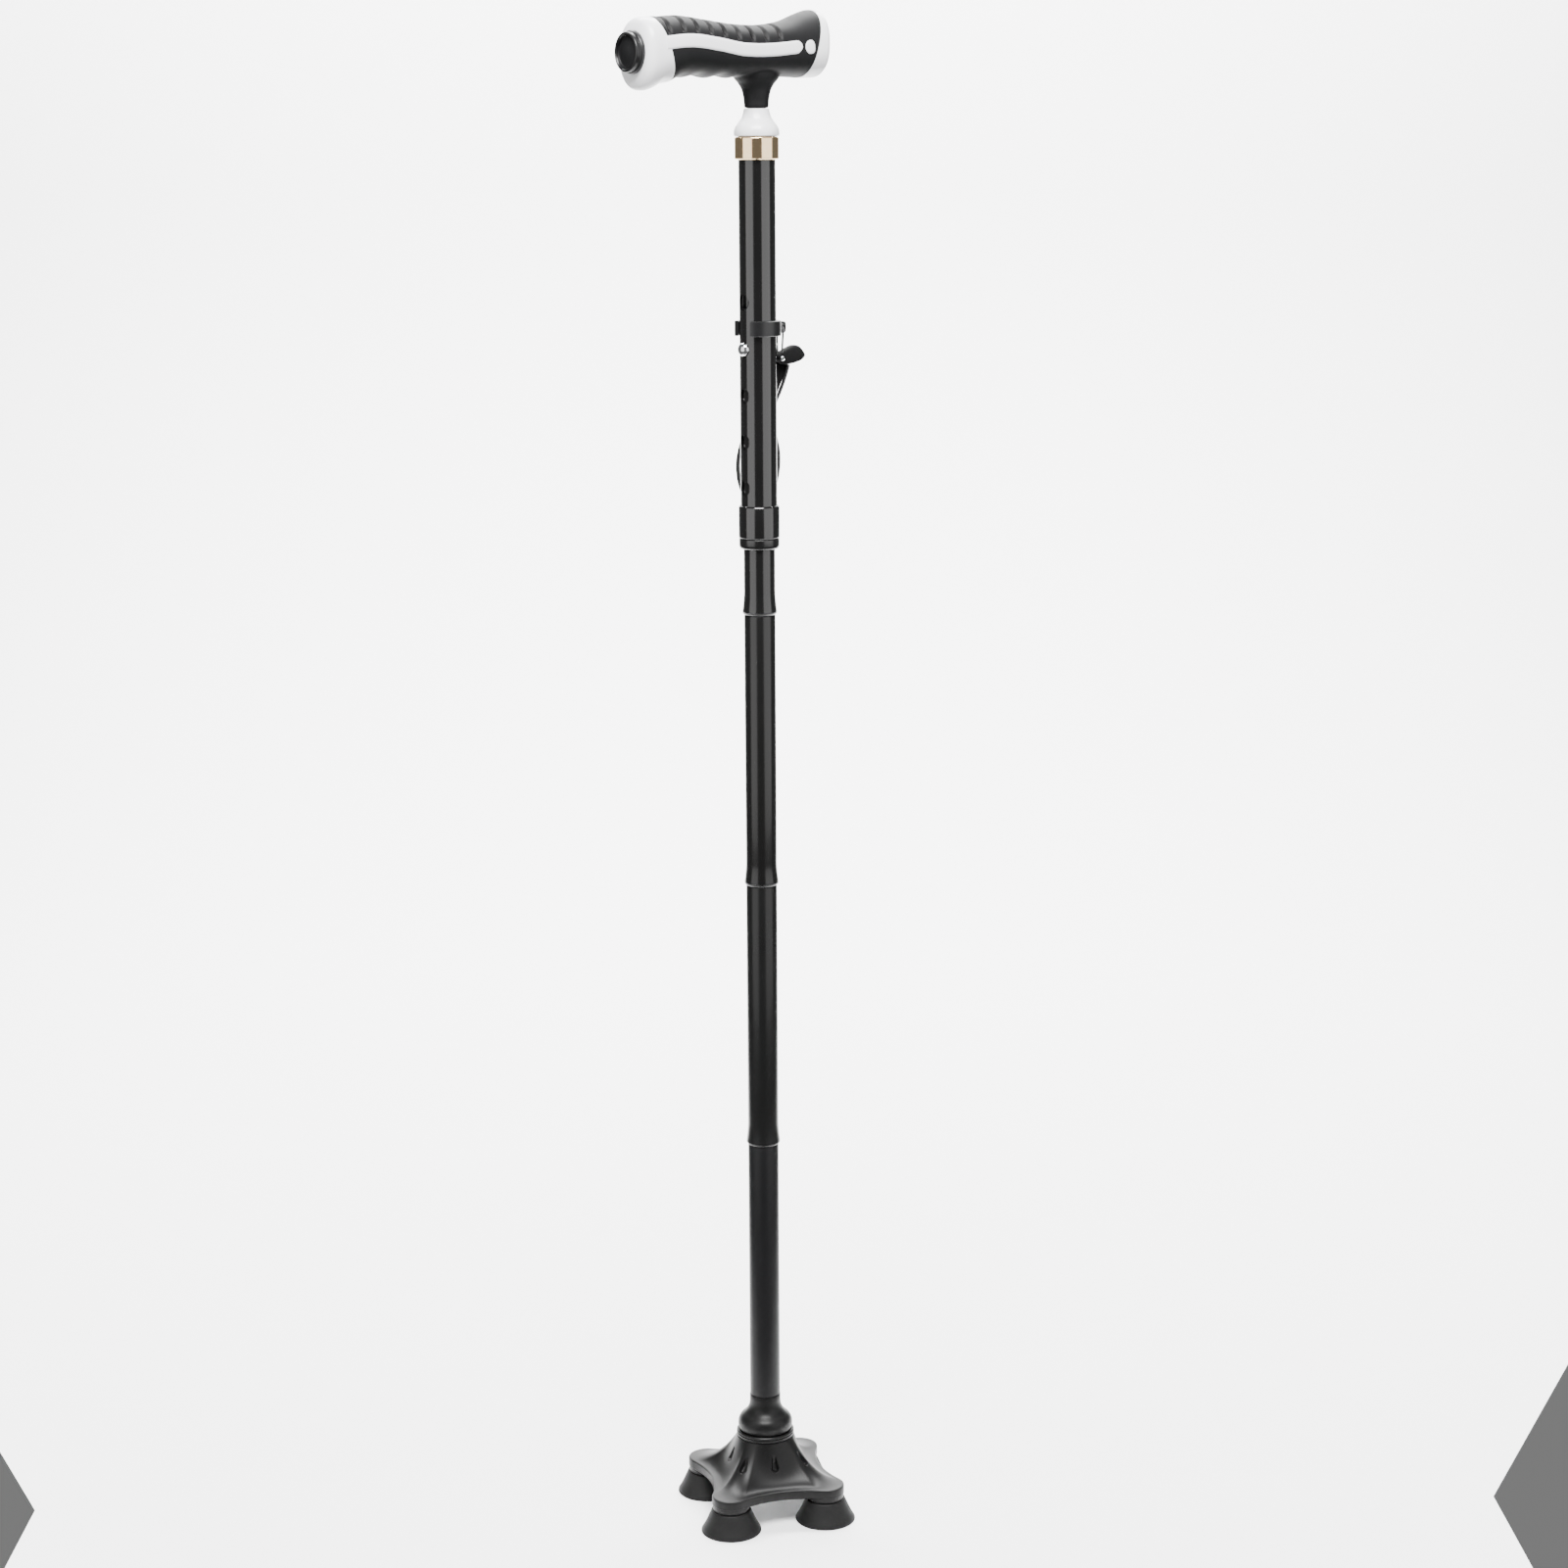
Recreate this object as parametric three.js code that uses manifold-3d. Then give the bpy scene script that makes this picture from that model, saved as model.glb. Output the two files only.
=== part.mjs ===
// Folding, height-adjustable walking cane with a pivoting four-foot base.
// Millimetres, +Z up. The tube axis is modelled at x = 0, y = 0, and the finished group is
// shifted along X so that the origin is the centre of the footprint. The handle runs along X.
import * as THREE from 'three';
import { mergeVertices } from 'three/addons/utils/BufferGeometryUtils.js';
import Module from 'manifold-3d';

const wasm = await Module();
wasm.setup();

// ---- driving dimensions ----
const GAP = 0.3; // between touching pieces
const OUTER_R = 11; // upper tube, 22 mm
const LOWER_R = 9.5; // folding sections, 19 mm
const WALL = 1.2;
const OUTER_BORE = OUTER_R - WALL;
const LOWER_BORE = LOWER_R - WALL;
const TUBE_SIDES = 20;

const SEAM_Z = 76.6; // bottom of the lowest section
const JOINT_Z = [578.6, 410.3, 243.2]; // fold joints, top to bottom
const COLLAR_BOTTOM = 618.9;
const COLLAR_TOP = 645;
const FERRULE_BOTTOM = 848.7;
const FERRULE_TOP = 862;
const NECK_Z = 878.2; // seam between the neck collar and the grip
const HOLE_PITCH = 27.5;
const TOP_HOLE_Z = 765.8;
const HOLE_COUNT = 5;
const BUTTON_Z = TOP_HOLE_Z - HOLE_PITCH;
const HOLE_R = 4.6;

const HANDLE_FRONT = -78; // front end of the soft grip
const HANDLE_REAR = 38; // rear end of the soft grip
const BUTTON_AXIS_Z = 909; // end button's centre
const FRONT_FACE = -87; // the bezel sits on this face
const STRIP_HALF = 3.8; // half height of the white side strips
const STRIP_END = 21.3;

const CLIP_BOTTOM = 746;
const CLIP_TOP = 755;
const LUG_X = 17; // eyelet of the strap clip
const LUG_Z = 751;
const STRAP_TURN = THREE.MathUtils.degToRad(-37); // the strap loop lies across this direction

const BALL_R = 17;
const BALL_Z = 57.5;
const RING_R = 18.3;
const RING_BOTTOM = 48.8;
const RING_TOP = 52.6;
const FOOT_REACH = 43.7; // foot centres from the base's centre
const CORNER_R = 12;
const SIDE_DISTANCE = 36; // base centre to the middle of a concave side
const BASE_YAW = -22; // degrees
const FOOT_TOP = 14.3;
const FOOT_R = 19;
const BASE_BOTTOM = 17.6;
const BASE_RIM_TOP = 23.6;

const FOOTPRINT_REACH = FOOT_REACH * Math.cos(THREE.MathUtils.degToRad(45 + BASE_YAW)) + FOOT_R;
const BUTTON_FACE = -93;

// ---- finishes ----
const finish = (color, roughness, metalness) =>
  new THREE.MeshStandardMaterial({ color, roughness, metalness });
const WHITE_ABS = () => finish(0xf1f2f3, 0.35, 0);
const BLACK_RUBBER = () => finish(0x19191a, 0.75, 0);
const BLACK_NYLON = () => finish(0x232325, 0.45, 0);
const GLOSS_BLACK = () => finish(0x121214, 0.15, 0.6);
const GOLD = () => finish(0xd9b98a, 0.12, 1);
const CHROME = () => finish(0xdfe1e4, 0.1, 1);
const STEEL = () => finish(0xb6b8bb, 0.3, 1);

// ---- geometry helpers ----
const cane = new THREE.Group();

function add(name, material, geometry) {
  const mesh = new THREE.Mesh(geometry, material);
  mesh.name = name;
  cane.add(mesh);
}

// One closed mesh with shared corners, no collapsed triangles, and its faces pointing out.
function closed(source) {
  const bare = source.clone();
  bare.deleteAttribute('normal');
  bare.deleteAttribute('uv');
  const merged = mergeVertices(bare, 1e-4);
  const p = merged.attributes.position;
  const index = [];
  let volume = 0;
  const [a, b, c] = [new THREE.Vector3(), new THREE.Vector3(), new THREE.Vector3()];
  for (let i = 0; i < merged.index.count; i += 3) {
    const [u, v, w] = [0, 1, 2].map((k) => merged.index.getX(i + k));
    if (u === v || v === w || w === u) continue;
    index.push(u, v, w);
    a.fromBufferAttribute(p, u);
    b.fromBufferAttribute(p, v);
    c.fromBufferAttribute(p, w);
    volume += a.dot(b.cross(c));
  }
  if (volume < 0) index.reverse();
  merged.setIndex(index);
  return merged;
}

function solid(geometry) {
  const g = closed(geometry);
  return new wasm.Manifold(new wasm.Mesh({
    numProp: 3,
    vertProperties: new Float32Array(g.attributes.position.array),
    triVerts: new Uint32Array(g.index.array),
  }));
}

function geometryOf(manifold) {
  const mesh = manifold.getMesh();
  const g = new THREE.BufferGeometry();
  g.setAttribute('position', new THREE.BufferAttribute(new Float32Array(mesh.vertProperties), 3));
  g.setIndex(new THREE.BufferAttribute(new Uint32Array(mesh.triVerts), 1));
  return g;
}

const joined = (first, ...others) => others.reduce((all, one) => all.add(one), first);
const cut = (first, ...others) => others.reduce((all, one) => all.subtract(one), first);

// A turned piece about Z from [radius, height] points.
function turned(points, sides = TUBE_SIDES, ring = false) {
  const outline = points.map(([r, z]) => new THREE.Vector2(r, z));
  if (ring) outline.push(outline[0].clone());
  return closed(new THREE.LatheGeometry(outline, sides).rotateX(Math.PI / 2));
}
const turnedRing = (points, sides) => turned(points, sides, true);

const sleeve = (inner, outer, low, high, sides) =>
  turnedRing([[inner, low], [outer, low], [outer, high], [inner, high]], sides);

const rod = (radius, low, high, sides = TUBE_SIDES) =>
  turned([[0, low], [radius, low], [radius, high], [0, high]], sides);

// A turned piece whose axis runs along X instead of Z.
const alongX = (geometry, y, z) => geometry.rotateY(Math.PI / 2).translate(0, y, z);

// Points of an arc of a sphere about the base's ball, from one polar angle to another.
function ballArc(radius, from, to, steps) {
  return Array.from({ length: steps + 1 }, (_, i) => {
    const polar = THREE.MathUtils.degToRad(from + ((to - from) * i) / steps);
    return [radius * Math.sin(polar), BALL_Z - radius * Math.cos(polar)];
  });
}

const shell = (inner, outer, from, to) =>
  turnedRing([...ballArc(outer, from, to, 3), ...ballArc(inner, to, from, 3)], 20);

// A smooth function through [x, value] points.
function through(points) {
  const curve = new THREE.CubicInterpolant(
    points.map(([x]) => x), points.map(([, v]) => v), 1);
  return (x) => curve.evaluate(THREE.MathUtils.clamp(x, points[0][0], points.at(-1)[0]))[0];
}

// A solid along X whose sections are rounded boxes: each station is [x, half width, low z, high z].
function lofted(stations, sides = 20, squareness = 0.82) {
  const g = new THREE.CylinderGeometry(1, 1, stations.length - 1, sides, stations.length - 1);
  const p = g.attributes.position;
  for (let i = 0; i < p.count; i += 1) {
    const station = Math.round((stations.length - 1) / 2 - p.getY(i));
    const [x, half, low, high] = stations[station];
    const [c, s] = [p.getX(i), p.getZ(i)];
    const round = (v) => Math.sign(v) * Math.abs(v) ** squareness;
    p.setXYZ(i, x, half * round(c), (low + high) / 2 + ((high - low) / 2) * round(s));
  }
  return closed(g);
}

// ---- handle ----
const gripTop = through([[-78, 928.6], [-59, 930], [-39, 928], [-20, 926], [0, 925.8],
  [18, 928.4], [31, 933], [38, 935]]);
const gripBottom = through([[-78, 891.5], [-66, 892.5], [-55, 896.3], [-43, 895.3], [-31, 896.5],
  [-18, 896], [10, 896.5], [28, 896.2], [38, 898]]);
const gripHalf = through([[-78, 16.8], [-55, 16.8], [-30, 16], [5, 16], [25, 17], [38, 18.2]]);
const stripCentre = through([[-80, 913.6], [-58, 915.5], [-39, 913.9], [-19.5, 911.1],
  [0, 911.2], [22, 913.3]]);

const STATION_STEP = (HANDLE_REAR - HANDLE_FRONT) / 14;
function gripBody(growth) {
  const stations = [];
  for (let x = HANDLE_FRONT; x <= HANDLE_REAR; x += STATION_STEP) {
    stations.push([x, gripHalf(x) + growth, gripBottom(x) - growth, gripTop(x) + growth]);
  }
  return solid(lofted(stations));
}

// The S-shaped web of the white core, which shows on both sides as a strip.
function stripWeb(growth) {
  const outline = new THREE.Shape();
  const half = STRIP_HALF + growth;
  outline.moveTo(HANDLE_FRONT - 4, stripCentre(HANDLE_FRONT) - half);
  for (let x = HANDLE_FRONT; x <= STRIP_END - STRIP_HALF; x += 9) {
    outline.lineTo(x, stripCentre(x) - half);
  }
  const endX = STRIP_END - STRIP_HALF;
  outline.absarc(endX, stripCentre(endX), half, -Math.PI / 2, Math.PI / 2, false);
  for (let x = endX - 2; x >= HANDLE_FRONT; x -= 9) {
    outline.lineTo(x, stripCentre(x) + half);
  }
  outline.lineTo(HANDLE_FRONT - 4, stripCentre(HANDLE_FRONT) + half);
  const web = new THREE.ExtrudeGeometry(outline, {
    depth: 60, bevelEnabled: false, curveSegments: 5 });
  return solid(web.rotateX(Math.PI / 2).translate(0, 30, 0));
}

const cylinderAlongX = (radius, from, to, z, sides = 12) =>
  solid(alongX(rod(radius, from, to, sides), 0, z));

const CELL_Z = 912;
const CELL_R = 5.8;
const CELL_LENGTH = 5.2;
const CELL_COUNT = 3;
const CELL_FRONT = -76.5;
const CELL_BACK = CELL_FRONT + CELL_COUNT * CELL_LENGTH;
const BARREL_R = 8;

const neckFlare = [[0, NECK_Z + 0.15], [7.2, NECK_Z + 0.15], [7.4, 882], [8.3, 887], [10.4, 892],
  [13.4, 895.4], [15, 898], [15, 902], [0, 902]];
const STEM_R = 5.4;

const frontCap = solid(lofted([
  [HANDLE_FRONT - GAP, 16.8, 891.2, 928.6], [-80, 17.1, 888.6, 929],
  [-83, 17, 887.7, 928.6], [-85.4, 15.6, 888.6, 926.5], [FRONT_FACE, 13, 893, 922.3]]));
const coreInside = joined(stripWeb(0), cylinderAlongX(BARREL_R, HANDLE_FRONT - 4, CELL_BACK + 3, CELL_Z));
const core = cut(
  joined(coreInside.intersect(gripBody(-0.05)), frontCap,
    cylinderAlongX(BARREL_R, HANDLE_FRONT - 2, CELL_BACK + 3, CELL_Z)),
  cylinderAlongX(CELL_R + GAP, -79, CELL_BACK + 1, CELL_Z),
  cylinderAlongX(10.4, -90, -78.4, BUTTON_AXIS_Z, 20),
  solid(rod(STEM_R + GAP, 870, 911.5, 16)));
add('handle_core', WHITE_ABS(), geometryOf(core));

const SIDE_BUTTON = { x: 27.7, z: 913.2, r: 4.2, face: -17.6, back: -12.6 };
const alongY = (radius, from, to, sides = 16) =>
  rod(radius, from, to, sides).rotateX(-Math.PI / 2).translate(SIDE_BUTTON.x, 0, SIDE_BUTTON.z);
const grip = cut(
  joined(gripBody(0), solid(turned(neckFlare, 20))),
  stripWeb(GAP),
  cylinderAlongX(BARREL_R + GAP, HANDLE_FRONT - 2, CELL_BACK + 3 + GAP, CELL_Z),
  solid(rod(STEM_R + GAP, 870, 911.5, 16)),
  solid(alongY(SIDE_BUTTON.r + GAP, -22, -11)),
  solid(alongY(5.4, SIDE_BUTTON.back + 1, -8)));
add('grip_cover', BLACK_RUBBER(), geometryOf(grip));

add('rear_cap', WHITE_ABS(), lofted([
  [HANDLE_REAR + GAP, 18.2, 898, 935], [40.5, 18.2, 897.6, 935], [42.2, 17, 899.4, 933.6],
  [43, 14.5, 902, 931]]));

add('button_bezel', BLACK_NYLON(), alongX(turnedRing([
  [9.4, 82], [10.1, 82], [10.1, 87.3], [12.2, 87.3], [12.2, 89.6], [11.2, 90.2],
  [11.35, 90.8], [11.35, 92.4], [10.8, 92.8], [9.4, 92.8]], 20).rotateX(Math.PI), 0, BUTTON_AXIS_Z));
add('end_button', BLACK_RUBBER(), alongX(turned([
  [0, 83.4], [2, 83.4], [2, 86], [9.1, 86], [9.1, 92.2], [8.3, 92.8], [0, -BUTTON_FACE]],
  20).rotateX(Math.PI), 0, BUTTON_AXIS_Z));
add('switch_board', finish(0x1f5a35, 0.5, 0), alongX(turned([
  [0, 78.7], [9.8, 78.7], [9.8, 79.9], [2.6, 79.9], [2.6, 81.1], [0, 81.1]],
  24).rotateX(Math.PI), 0, BUTTON_AXIS_Z));

// Button cells in one shrink sleeve, each with its stepped negative cap.
const stack = [[0, CELL_FRONT]];
for (let i = 0; i < CELL_COUNT; i += 1) {
  const front = CELL_FRONT + i * CELL_LENGTH;
  stack.push([CELL_R - 0.8, front], [CELL_R - 0.8, front + 0.8], [CELL_R, front + 0.9],
    [CELL_R, front + CELL_LENGTH - 0.2]);
}
stack.push([0, CELL_BACK - 0.2]);
add('button_cells', STEEL(), alongX(turned(stack, 12), 0, CELL_Z));
add('cell_contact', GOLD(), alongX(rod(4, CELL_BACK + 0.1, CELL_BACK + 0.7, 16), 0, CELL_Z));
add('side_button', WHITE_ABS(), alongY(SIDE_BUTTON.r, SIDE_BUTTON.face, SIDE_BUTTON.back));
add('light_board', finish(0x1f5a35, 0.5, 0), alongY(5, SIDE_BUTTON.back + 1.3, SIDE_BUTTON.back + 2.6));

// ---- neck, ferrule and upper tube ----
const TUBE_TOP = 866;
add('handle_stem', BLACK_NYLON(), turned([
  [0, 822], [OUTER_BORE - GAP, 822], [OUTER_BORE - GAP, TUBE_TOP - 2], [STEM_R, TUBE_TOP + 2],
  [STEM_R, 911.2], [0, 911.2]]));
add('neck_collar', WHITE_ABS(), turnedRing([
  [OUTER_R + GAP, FERRULE_TOP + 0.15], [13.6, FERRULE_TOP + 0.15], [13.6, 867.6], [12.6, 869],
  [9.6, 872.6], [8, 876], [7.4, NECK_Z - 0.15], [STEM_R + GAP, NECK_Z - 0.15],
  [STEM_R + GAP, 869], [OUTER_R + GAP, TUBE_TOP + GAP]]));
add('ferrule', GOLD(), sleeve(OUTER_R + GAP, 13.2, FERRULE_BOTTOM, FERRULE_TOP - 0.15));

const TUBE_END = 632;
const holeCutter = (z) => solid(rod(HOLE_R, -20, 20, 16).rotateY(Math.PI / 2).translate(0, 0, z));
const outerTube = Array.from({ length: HOLE_COUNT }, (_, i) => TOP_HOLE_Z - i * HOLE_PITCH)
  .reduce((tube, z) => tube.subtract(holeCutter(z)),
    solid(sleeve(OUTER_BORE, OUTER_R, TUBE_END, TUBE_TOP)));
add('outer_tube', GLOSS_BLACK(), geometryOf(outerTube));

// ---- twist lock ----
add('lock_nut', GLOSS_BLACK(), sleeve(OUTER_R + GAP, 12.4, COLLAR_BOTTOM + 6.6, COLLAR_TOP));
const collet = solid(turnedRing([
  [LOWER_R + 0.15, COLLAR_BOTTOM], [11, COLLAR_BOTTOM], [11.9, COLLAR_BOTTOM + 0.9],
  [12.2, COLLAR_BOTTOM + 2.1], [12.2, COLLAR_BOTTOM + 6.3], [10.95, COLLAR_BOTTOM + 6.3], [10.95, TUBE_END - GAP],
  [LOWER_R + 0.15, TUBE_END - GAP]]));
const slit = (angle) => solid(new THREE.BoxGeometry(12, 1, 8).translate(12, 0, TUBE_END - 3)
  .rotateZ(angle));
add('collet', BLACK_NYLON(), geometryOf(cut(collet, ...[0.4, 2.5, 4.6].map(slit))));

// ---- wrist strap ----
const clipRing = new THREE.Shape();
const CLIP_OPEN = THREE.MathUtils.degToRad(33);
const CLIP_OUTER = 13.9;
clipRing.absarc(0, 0, CLIP_OUTER, -Math.PI + CLIP_OPEN, Math.PI - CLIP_OPEN, false);
clipRing.absarc(0, 0, OUTER_R + GAP, Math.PI - CLIP_OPEN, -Math.PI + CLIP_OPEN, true);
const clipBand = new THREE.ExtrudeGeometry(clipRing, {
  depth: CLIP_TOP - CLIP_BOTTOM, bevelEnabled: false, curveSegments: 20 })
  .translate(0, 0, CLIP_BOTTOM);
const lugPlate = new THREE.BoxGeometry(6.5, 3, 7).translate(CLIP_OUTER + 2.8, 0, LUG_Z - 0.5);
const lugHole = rod(1.7, -3, 3, 16).rotateX(Math.PI / 2).translate(LUG_X, 0, LUG_Z);
add('strap_clip', BLACK_NYLON(),
  geometryOf(cut(joined(solid(clipBand), solid(lugPlate)), solid(lugHole))));

const CORD_R = 0.6;
const FOLD_TOP = 738;
const cordRoute = new THREE.CatmullRomCurve3([
  [16.4, -2.6, FOLD_TOP], [16.2, -2.9, 742], [16.6, -2.8, 746], [17, -2.4, 749], [17, -1.2, 750.6],
  [17, 0, 750.9], [17, 1.2, 750.6], [17, 2.4, 749], [16.6, 2.8, 746], [16.2, 2.9, 742],
  [16.4, 2.6, FOLD_TOP]].map(([x, y, z]) => new THREE.Vector3(x, y, z)));
const cordSection = new THREE.Shape();
cordSection.absarc(0, 0, CORD_R, 0, 2 * Math.PI, false); // an eight-sided tube
add('strap_cord', BLACK_RUBBER(), closed(new THREE.ExtrudeGeometry(cordSection, {
  steps: 18, curveSegments: 4, bevelEnabled: false, extrudePath: cordRoute })));

add('strap_end', BLACK_RUBBER(),
  new THREE.BoxGeometry(19, 7.4, 9.4).translate(24.3, 0, FOLD_TOP - GAP - 4.7));

// The webbing loop, drawn across the view of its broad side and then given its width.
const STRAP_WIDTH = 10;
const STRAP_CLEAR = 12.9;
const strapLoop = new THREE.Shape();
strapLoop.moveTo(19, 727.5);
strapLoop.bezierCurveTo(16, 718, 8.5, 708, 8.5, 698);
strapLoop.bezierCurveTo(8.5, 690, 12.8, 682, 12.8, 671);
strapLoop.bezierCurveTo(12.8, 655, 7, 643.5, -1, 643.5);
strapLoop.bezierCurveTo(-8, 643.5, -13.4, 653, -13.4, 667);
strapLoop.bezierCurveTo(-13.4, 683, -2, 700, 5, 708);
strapLoop.bezierCurveTo(8, 713, 12, 720, 12, 727.5);
strapLoop.closePath();
const strapInside = new THREE.Path();
strapInside.moveTo(6.9, 706);
strapInside.bezierCurveTo(1, 698, -11.8, 683, -11.8, 667);
strapInside.bezierCurveTo(-11.8, 654, -7, 645.1, -1, 645.1);
strapInside.bezierCurveTo(6, 645.1, 11.2, 656, 11.2, 671);
strapInside.bezierCurveTo(11.2, 681, 6.9, 690, 6.9, 698);
strapInside.closePath();
strapLoop.holes.push(strapInside);
const strapGeometry = new THREE.ExtrudeGeometry(strapLoop, {
  depth: STRAP_WIDTH, bevelEnabled: false, curveSegments: 8 });
add('wrist_strap', BLACK_RUBBER(), closed(strapGeometry.rotateX(Math.PI / 2)
  .translate(0, STRAP_CLEAR + STRAP_WIDTH, 0).rotateZ(STRAP_TURN)));

// ---- folding sections ----
const FLARE_R = 10.5;
const FLARE_HEIGHT = 12.5;
const CORNER_RISE = 1.7; // the flared corner stands this far above the joint plane

// Tube from [high] down to a flared mouth over the joint plane at [jointZ].
function flaredTube(jointZ, high) {
  const low = jointZ + CORNER_RISE;
  return solid(turnedRing([
    [9.3, low], [FLARE_R, low], [FLARE_R, low + 0.6], [LOWER_R, low + FLARE_HEIGHT],
    [LOWER_R, high - 0.6], [LOWER_R - 0.5, high], [LOWER_BORE, high], [LOWER_BORE, jointZ + 12],
    [9.3, jointZ + 8.8]]));
}

const innerTop = 760;
const snapHole = holeCutter(BUTTON_Z);
add('inner_tube', GLOSS_BLACK(), geometryOf(flaredTube(JOINT_Z[0], innerTop).subtract(snapHole)));
add('section_2_tube', GLOSS_BLACK(), geometryOf(flaredTube(JOINT_Z[1], JOINT_Z[0] - 0.15)));
add('section_3_tube', GLOSS_BLACK(), geometryOf(flaredTube(JOINT_Z[2], JOINT_Z[1] - 0.15)));
add('section_4_tube', GLOSS_BLACK(), turnedRing([
  [LOWER_BORE, SEAM_Z], [LOWER_R, SEAM_Z], [LOWER_R, JOINT_Z[2] - 0.75],
  [LOWER_R - 0.5, JOINT_Z[2] - 0.15], [LOWER_BORE, JOINT_Z[2] - 0.15]]));

const PLUG_R = 7.6;
const PLUG_GUIDE = 2.5;
const PLUG_DEPTH = 18;
const CORD_PASS = 3; // hole for the shock cord
const SHOCK_R = 2.2;
JOINT_Z.forEach((z, i) => {
  add(`socket_bush_${i + 1}`, BLACK_NYLON(), turnedRing([
    [8.9, z + 0.15], [9.5, z + 0.15], [FLARE_R - 0.1, z + 1.4], [9, z + 1.4], [9, z + 8.5],
    [8.3, z + 8.5], [8.3, z + 5]]));
  const dome = [0, 23, 46].map((a) => {
    const lift = THREE.MathUtils.degToRad(a);
    return [PLUG_R * Math.cos(lift), z + PLUG_GUIDE + PLUG_R * Math.sin(lift)];
  });
  add(`joint_plug_${i + 1}`, BLACK_NYLON(), turnedRing([
    [CORD_PASS, z - PLUG_DEPTH], [LOWER_BORE - GAP, z - PLUG_DEPTH], [LOWER_BORE - GAP, z - 0.2],
    [PLUG_R, z - 0.1], ...dome, [CORD_PASS, z + 2]]));
  add(`cord_bridge_${i + 1}`, BLACK_RUBBER(), rod(SHOCK_R, z + 0.2, z + 5, 12));
});

const knot = (z) => [[3.2, z], [4.2, z + 1.6], [3.2, z + 3.2]];
const ANCHOR_Z = 108;
add('top_plug', BLACK_NYLON(), turnedRing([
  [2.6, innerTop - 10], [LOWER_BORE - GAP, innerTop - 10], [LOWER_BORE - GAP, innerTop + GAP],
  [LOWER_R, innerTop + GAP], [LOWER_R, innerTop + 2], [2.6, innerTop + 2]]));
add('shock_cord_1', BLACK_RUBBER(), turned([
  [0, JOINT_Z[0] + 5.3], [SHOCK_R, JOINT_Z[0] + 5.3], [SHOCK_R, innerTop + 2.4],
  ...knot(innerTop + 2.4), [0, innerTop + 5.6]], 12));
add('shock_cord_2', BLACK_RUBBER(), rod(SHOCK_R, JOINT_Z[1] + 5.3, JOINT_Z[0] - 0.1, 12));
add('shock_cord_3', BLACK_RUBBER(), rod(SHOCK_R, JOINT_Z[2] + 5.3, JOINT_Z[1] - 0.1, 12));
add('shock_cord_4', BLACK_RUBBER(), turned([
  [0, ANCHOR_Z - 3.6], [3.2, ANCHOR_Z - 3.6], [4.2, ANCHOR_Z - 2], [3.2, ANCHOR_Z - 0.4],
  [SHOCK_R, ANCHOR_Z - 0.4], [SHOCK_R, JOINT_Z[2] - 0.1], [0, JOINT_Z[2] - 0.1]], 12));
add('cord_anchor', BLACK_NYLON(), sleeve(2.6, LOWER_BORE - GAP, ANCHOR_Z, ANCHOR_Z + 8, 24));

// ---- snap buttons and their spring ----
const snapProfile = [[0, 7], [4.3, 7], [4.3, 12], [3.3, 13.2], [0, 13.8]];
const snapButton = () => turned(snapProfile, 16);
add('snap_button_front', CHROME(), snapButton().rotateY(-Math.PI / 2).translate(0, 0, BUTTON_Z));
add('snap_button_rear', CHROME(), snapButton().rotateY(Math.PI / 2).translate(0, 0, BUTTON_Z));

const SPRING_BEND = 702;
const spring = new THREE.Shape();
spring.moveTo(-6.6, BUTTON_Z + 4);
spring.lineTo(-6.6, BUTTON_Z - 4);
spring.lineTo(-5, SPRING_BEND + 5);
spring.absarc(0, SPRING_BEND + 5, 5, Math.PI, 2 * Math.PI, false);
spring.lineTo(6.6, BUTTON_Z - 4);
spring.lineTo(6.6, BUTTON_Z + 4);
spring.lineTo(6, BUTTON_Z + 4);
spring.lineTo(6, BUTTON_Z - 4);
spring.lineTo(4.4, SPRING_BEND + 5);
spring.absarc(0, SPRING_BEND + 5, 4.4, 2 * Math.PI, Math.PI, true);
spring.lineTo(-6, BUTTON_Z - 4);
spring.lineTo(-6, BUTTON_Z + 4);
const springStrip = new THREE.ExtrudeGeometry(spring, {
  depth: 7, bevelEnabled: false, curveSegments: 8 }).rotateX(Math.PI / 2).translate(0, 3.5, 0);
add('v_spring', STEEL(), geometryOf(cut(solid(springStrip),
  solid(rod(SHOCK_R + GAP, SPRING_BEND - 5, SPRING_BEND + 6, 16)))));

// ---- ball joint of the base ----
add('ankle', BLACK_NYLON(), turned([
  [0, 54.5], [2.8, 54.5], ...ballArc(BALL_R, 9.6, 92, 8), [16.9, 59.6], [15.2, 62.5], [12.2, 65],
  [10.3, 68], [9.8, 71], [9.8, SEAM_Z - 0.3], [LOWER_BORE - GAP, SEAM_Z - 0.3],
  [LOWER_BORE - GAP, 100], [0, 100]]));
add('pivot_cushion', BLACK_RUBBER(), shell(17.4, 18.2, 18, 34));
add('pivot_cup', finish(0xd8d8d2, 0.5, 0), shell(18.5, 19.5, 20, 45));
add('pivot_washer', STEEL(), turnedRing([
  ...ballArc(23.1, 7.2, 34, 3), ...ballArc(21.9, 34, 7.6, 3)], 20));
const HEAD_TOP = BALL_Z - 23.5;
add('pivot_screw', STEEL(), turned([
  [0, HEAD_TOP - 3], [4.8, HEAD_TOP - 3], [5, HEAD_TOP], [2.4, HEAD_TOP], [2.4, 53.5], [0, 53.5]], 20));

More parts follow.
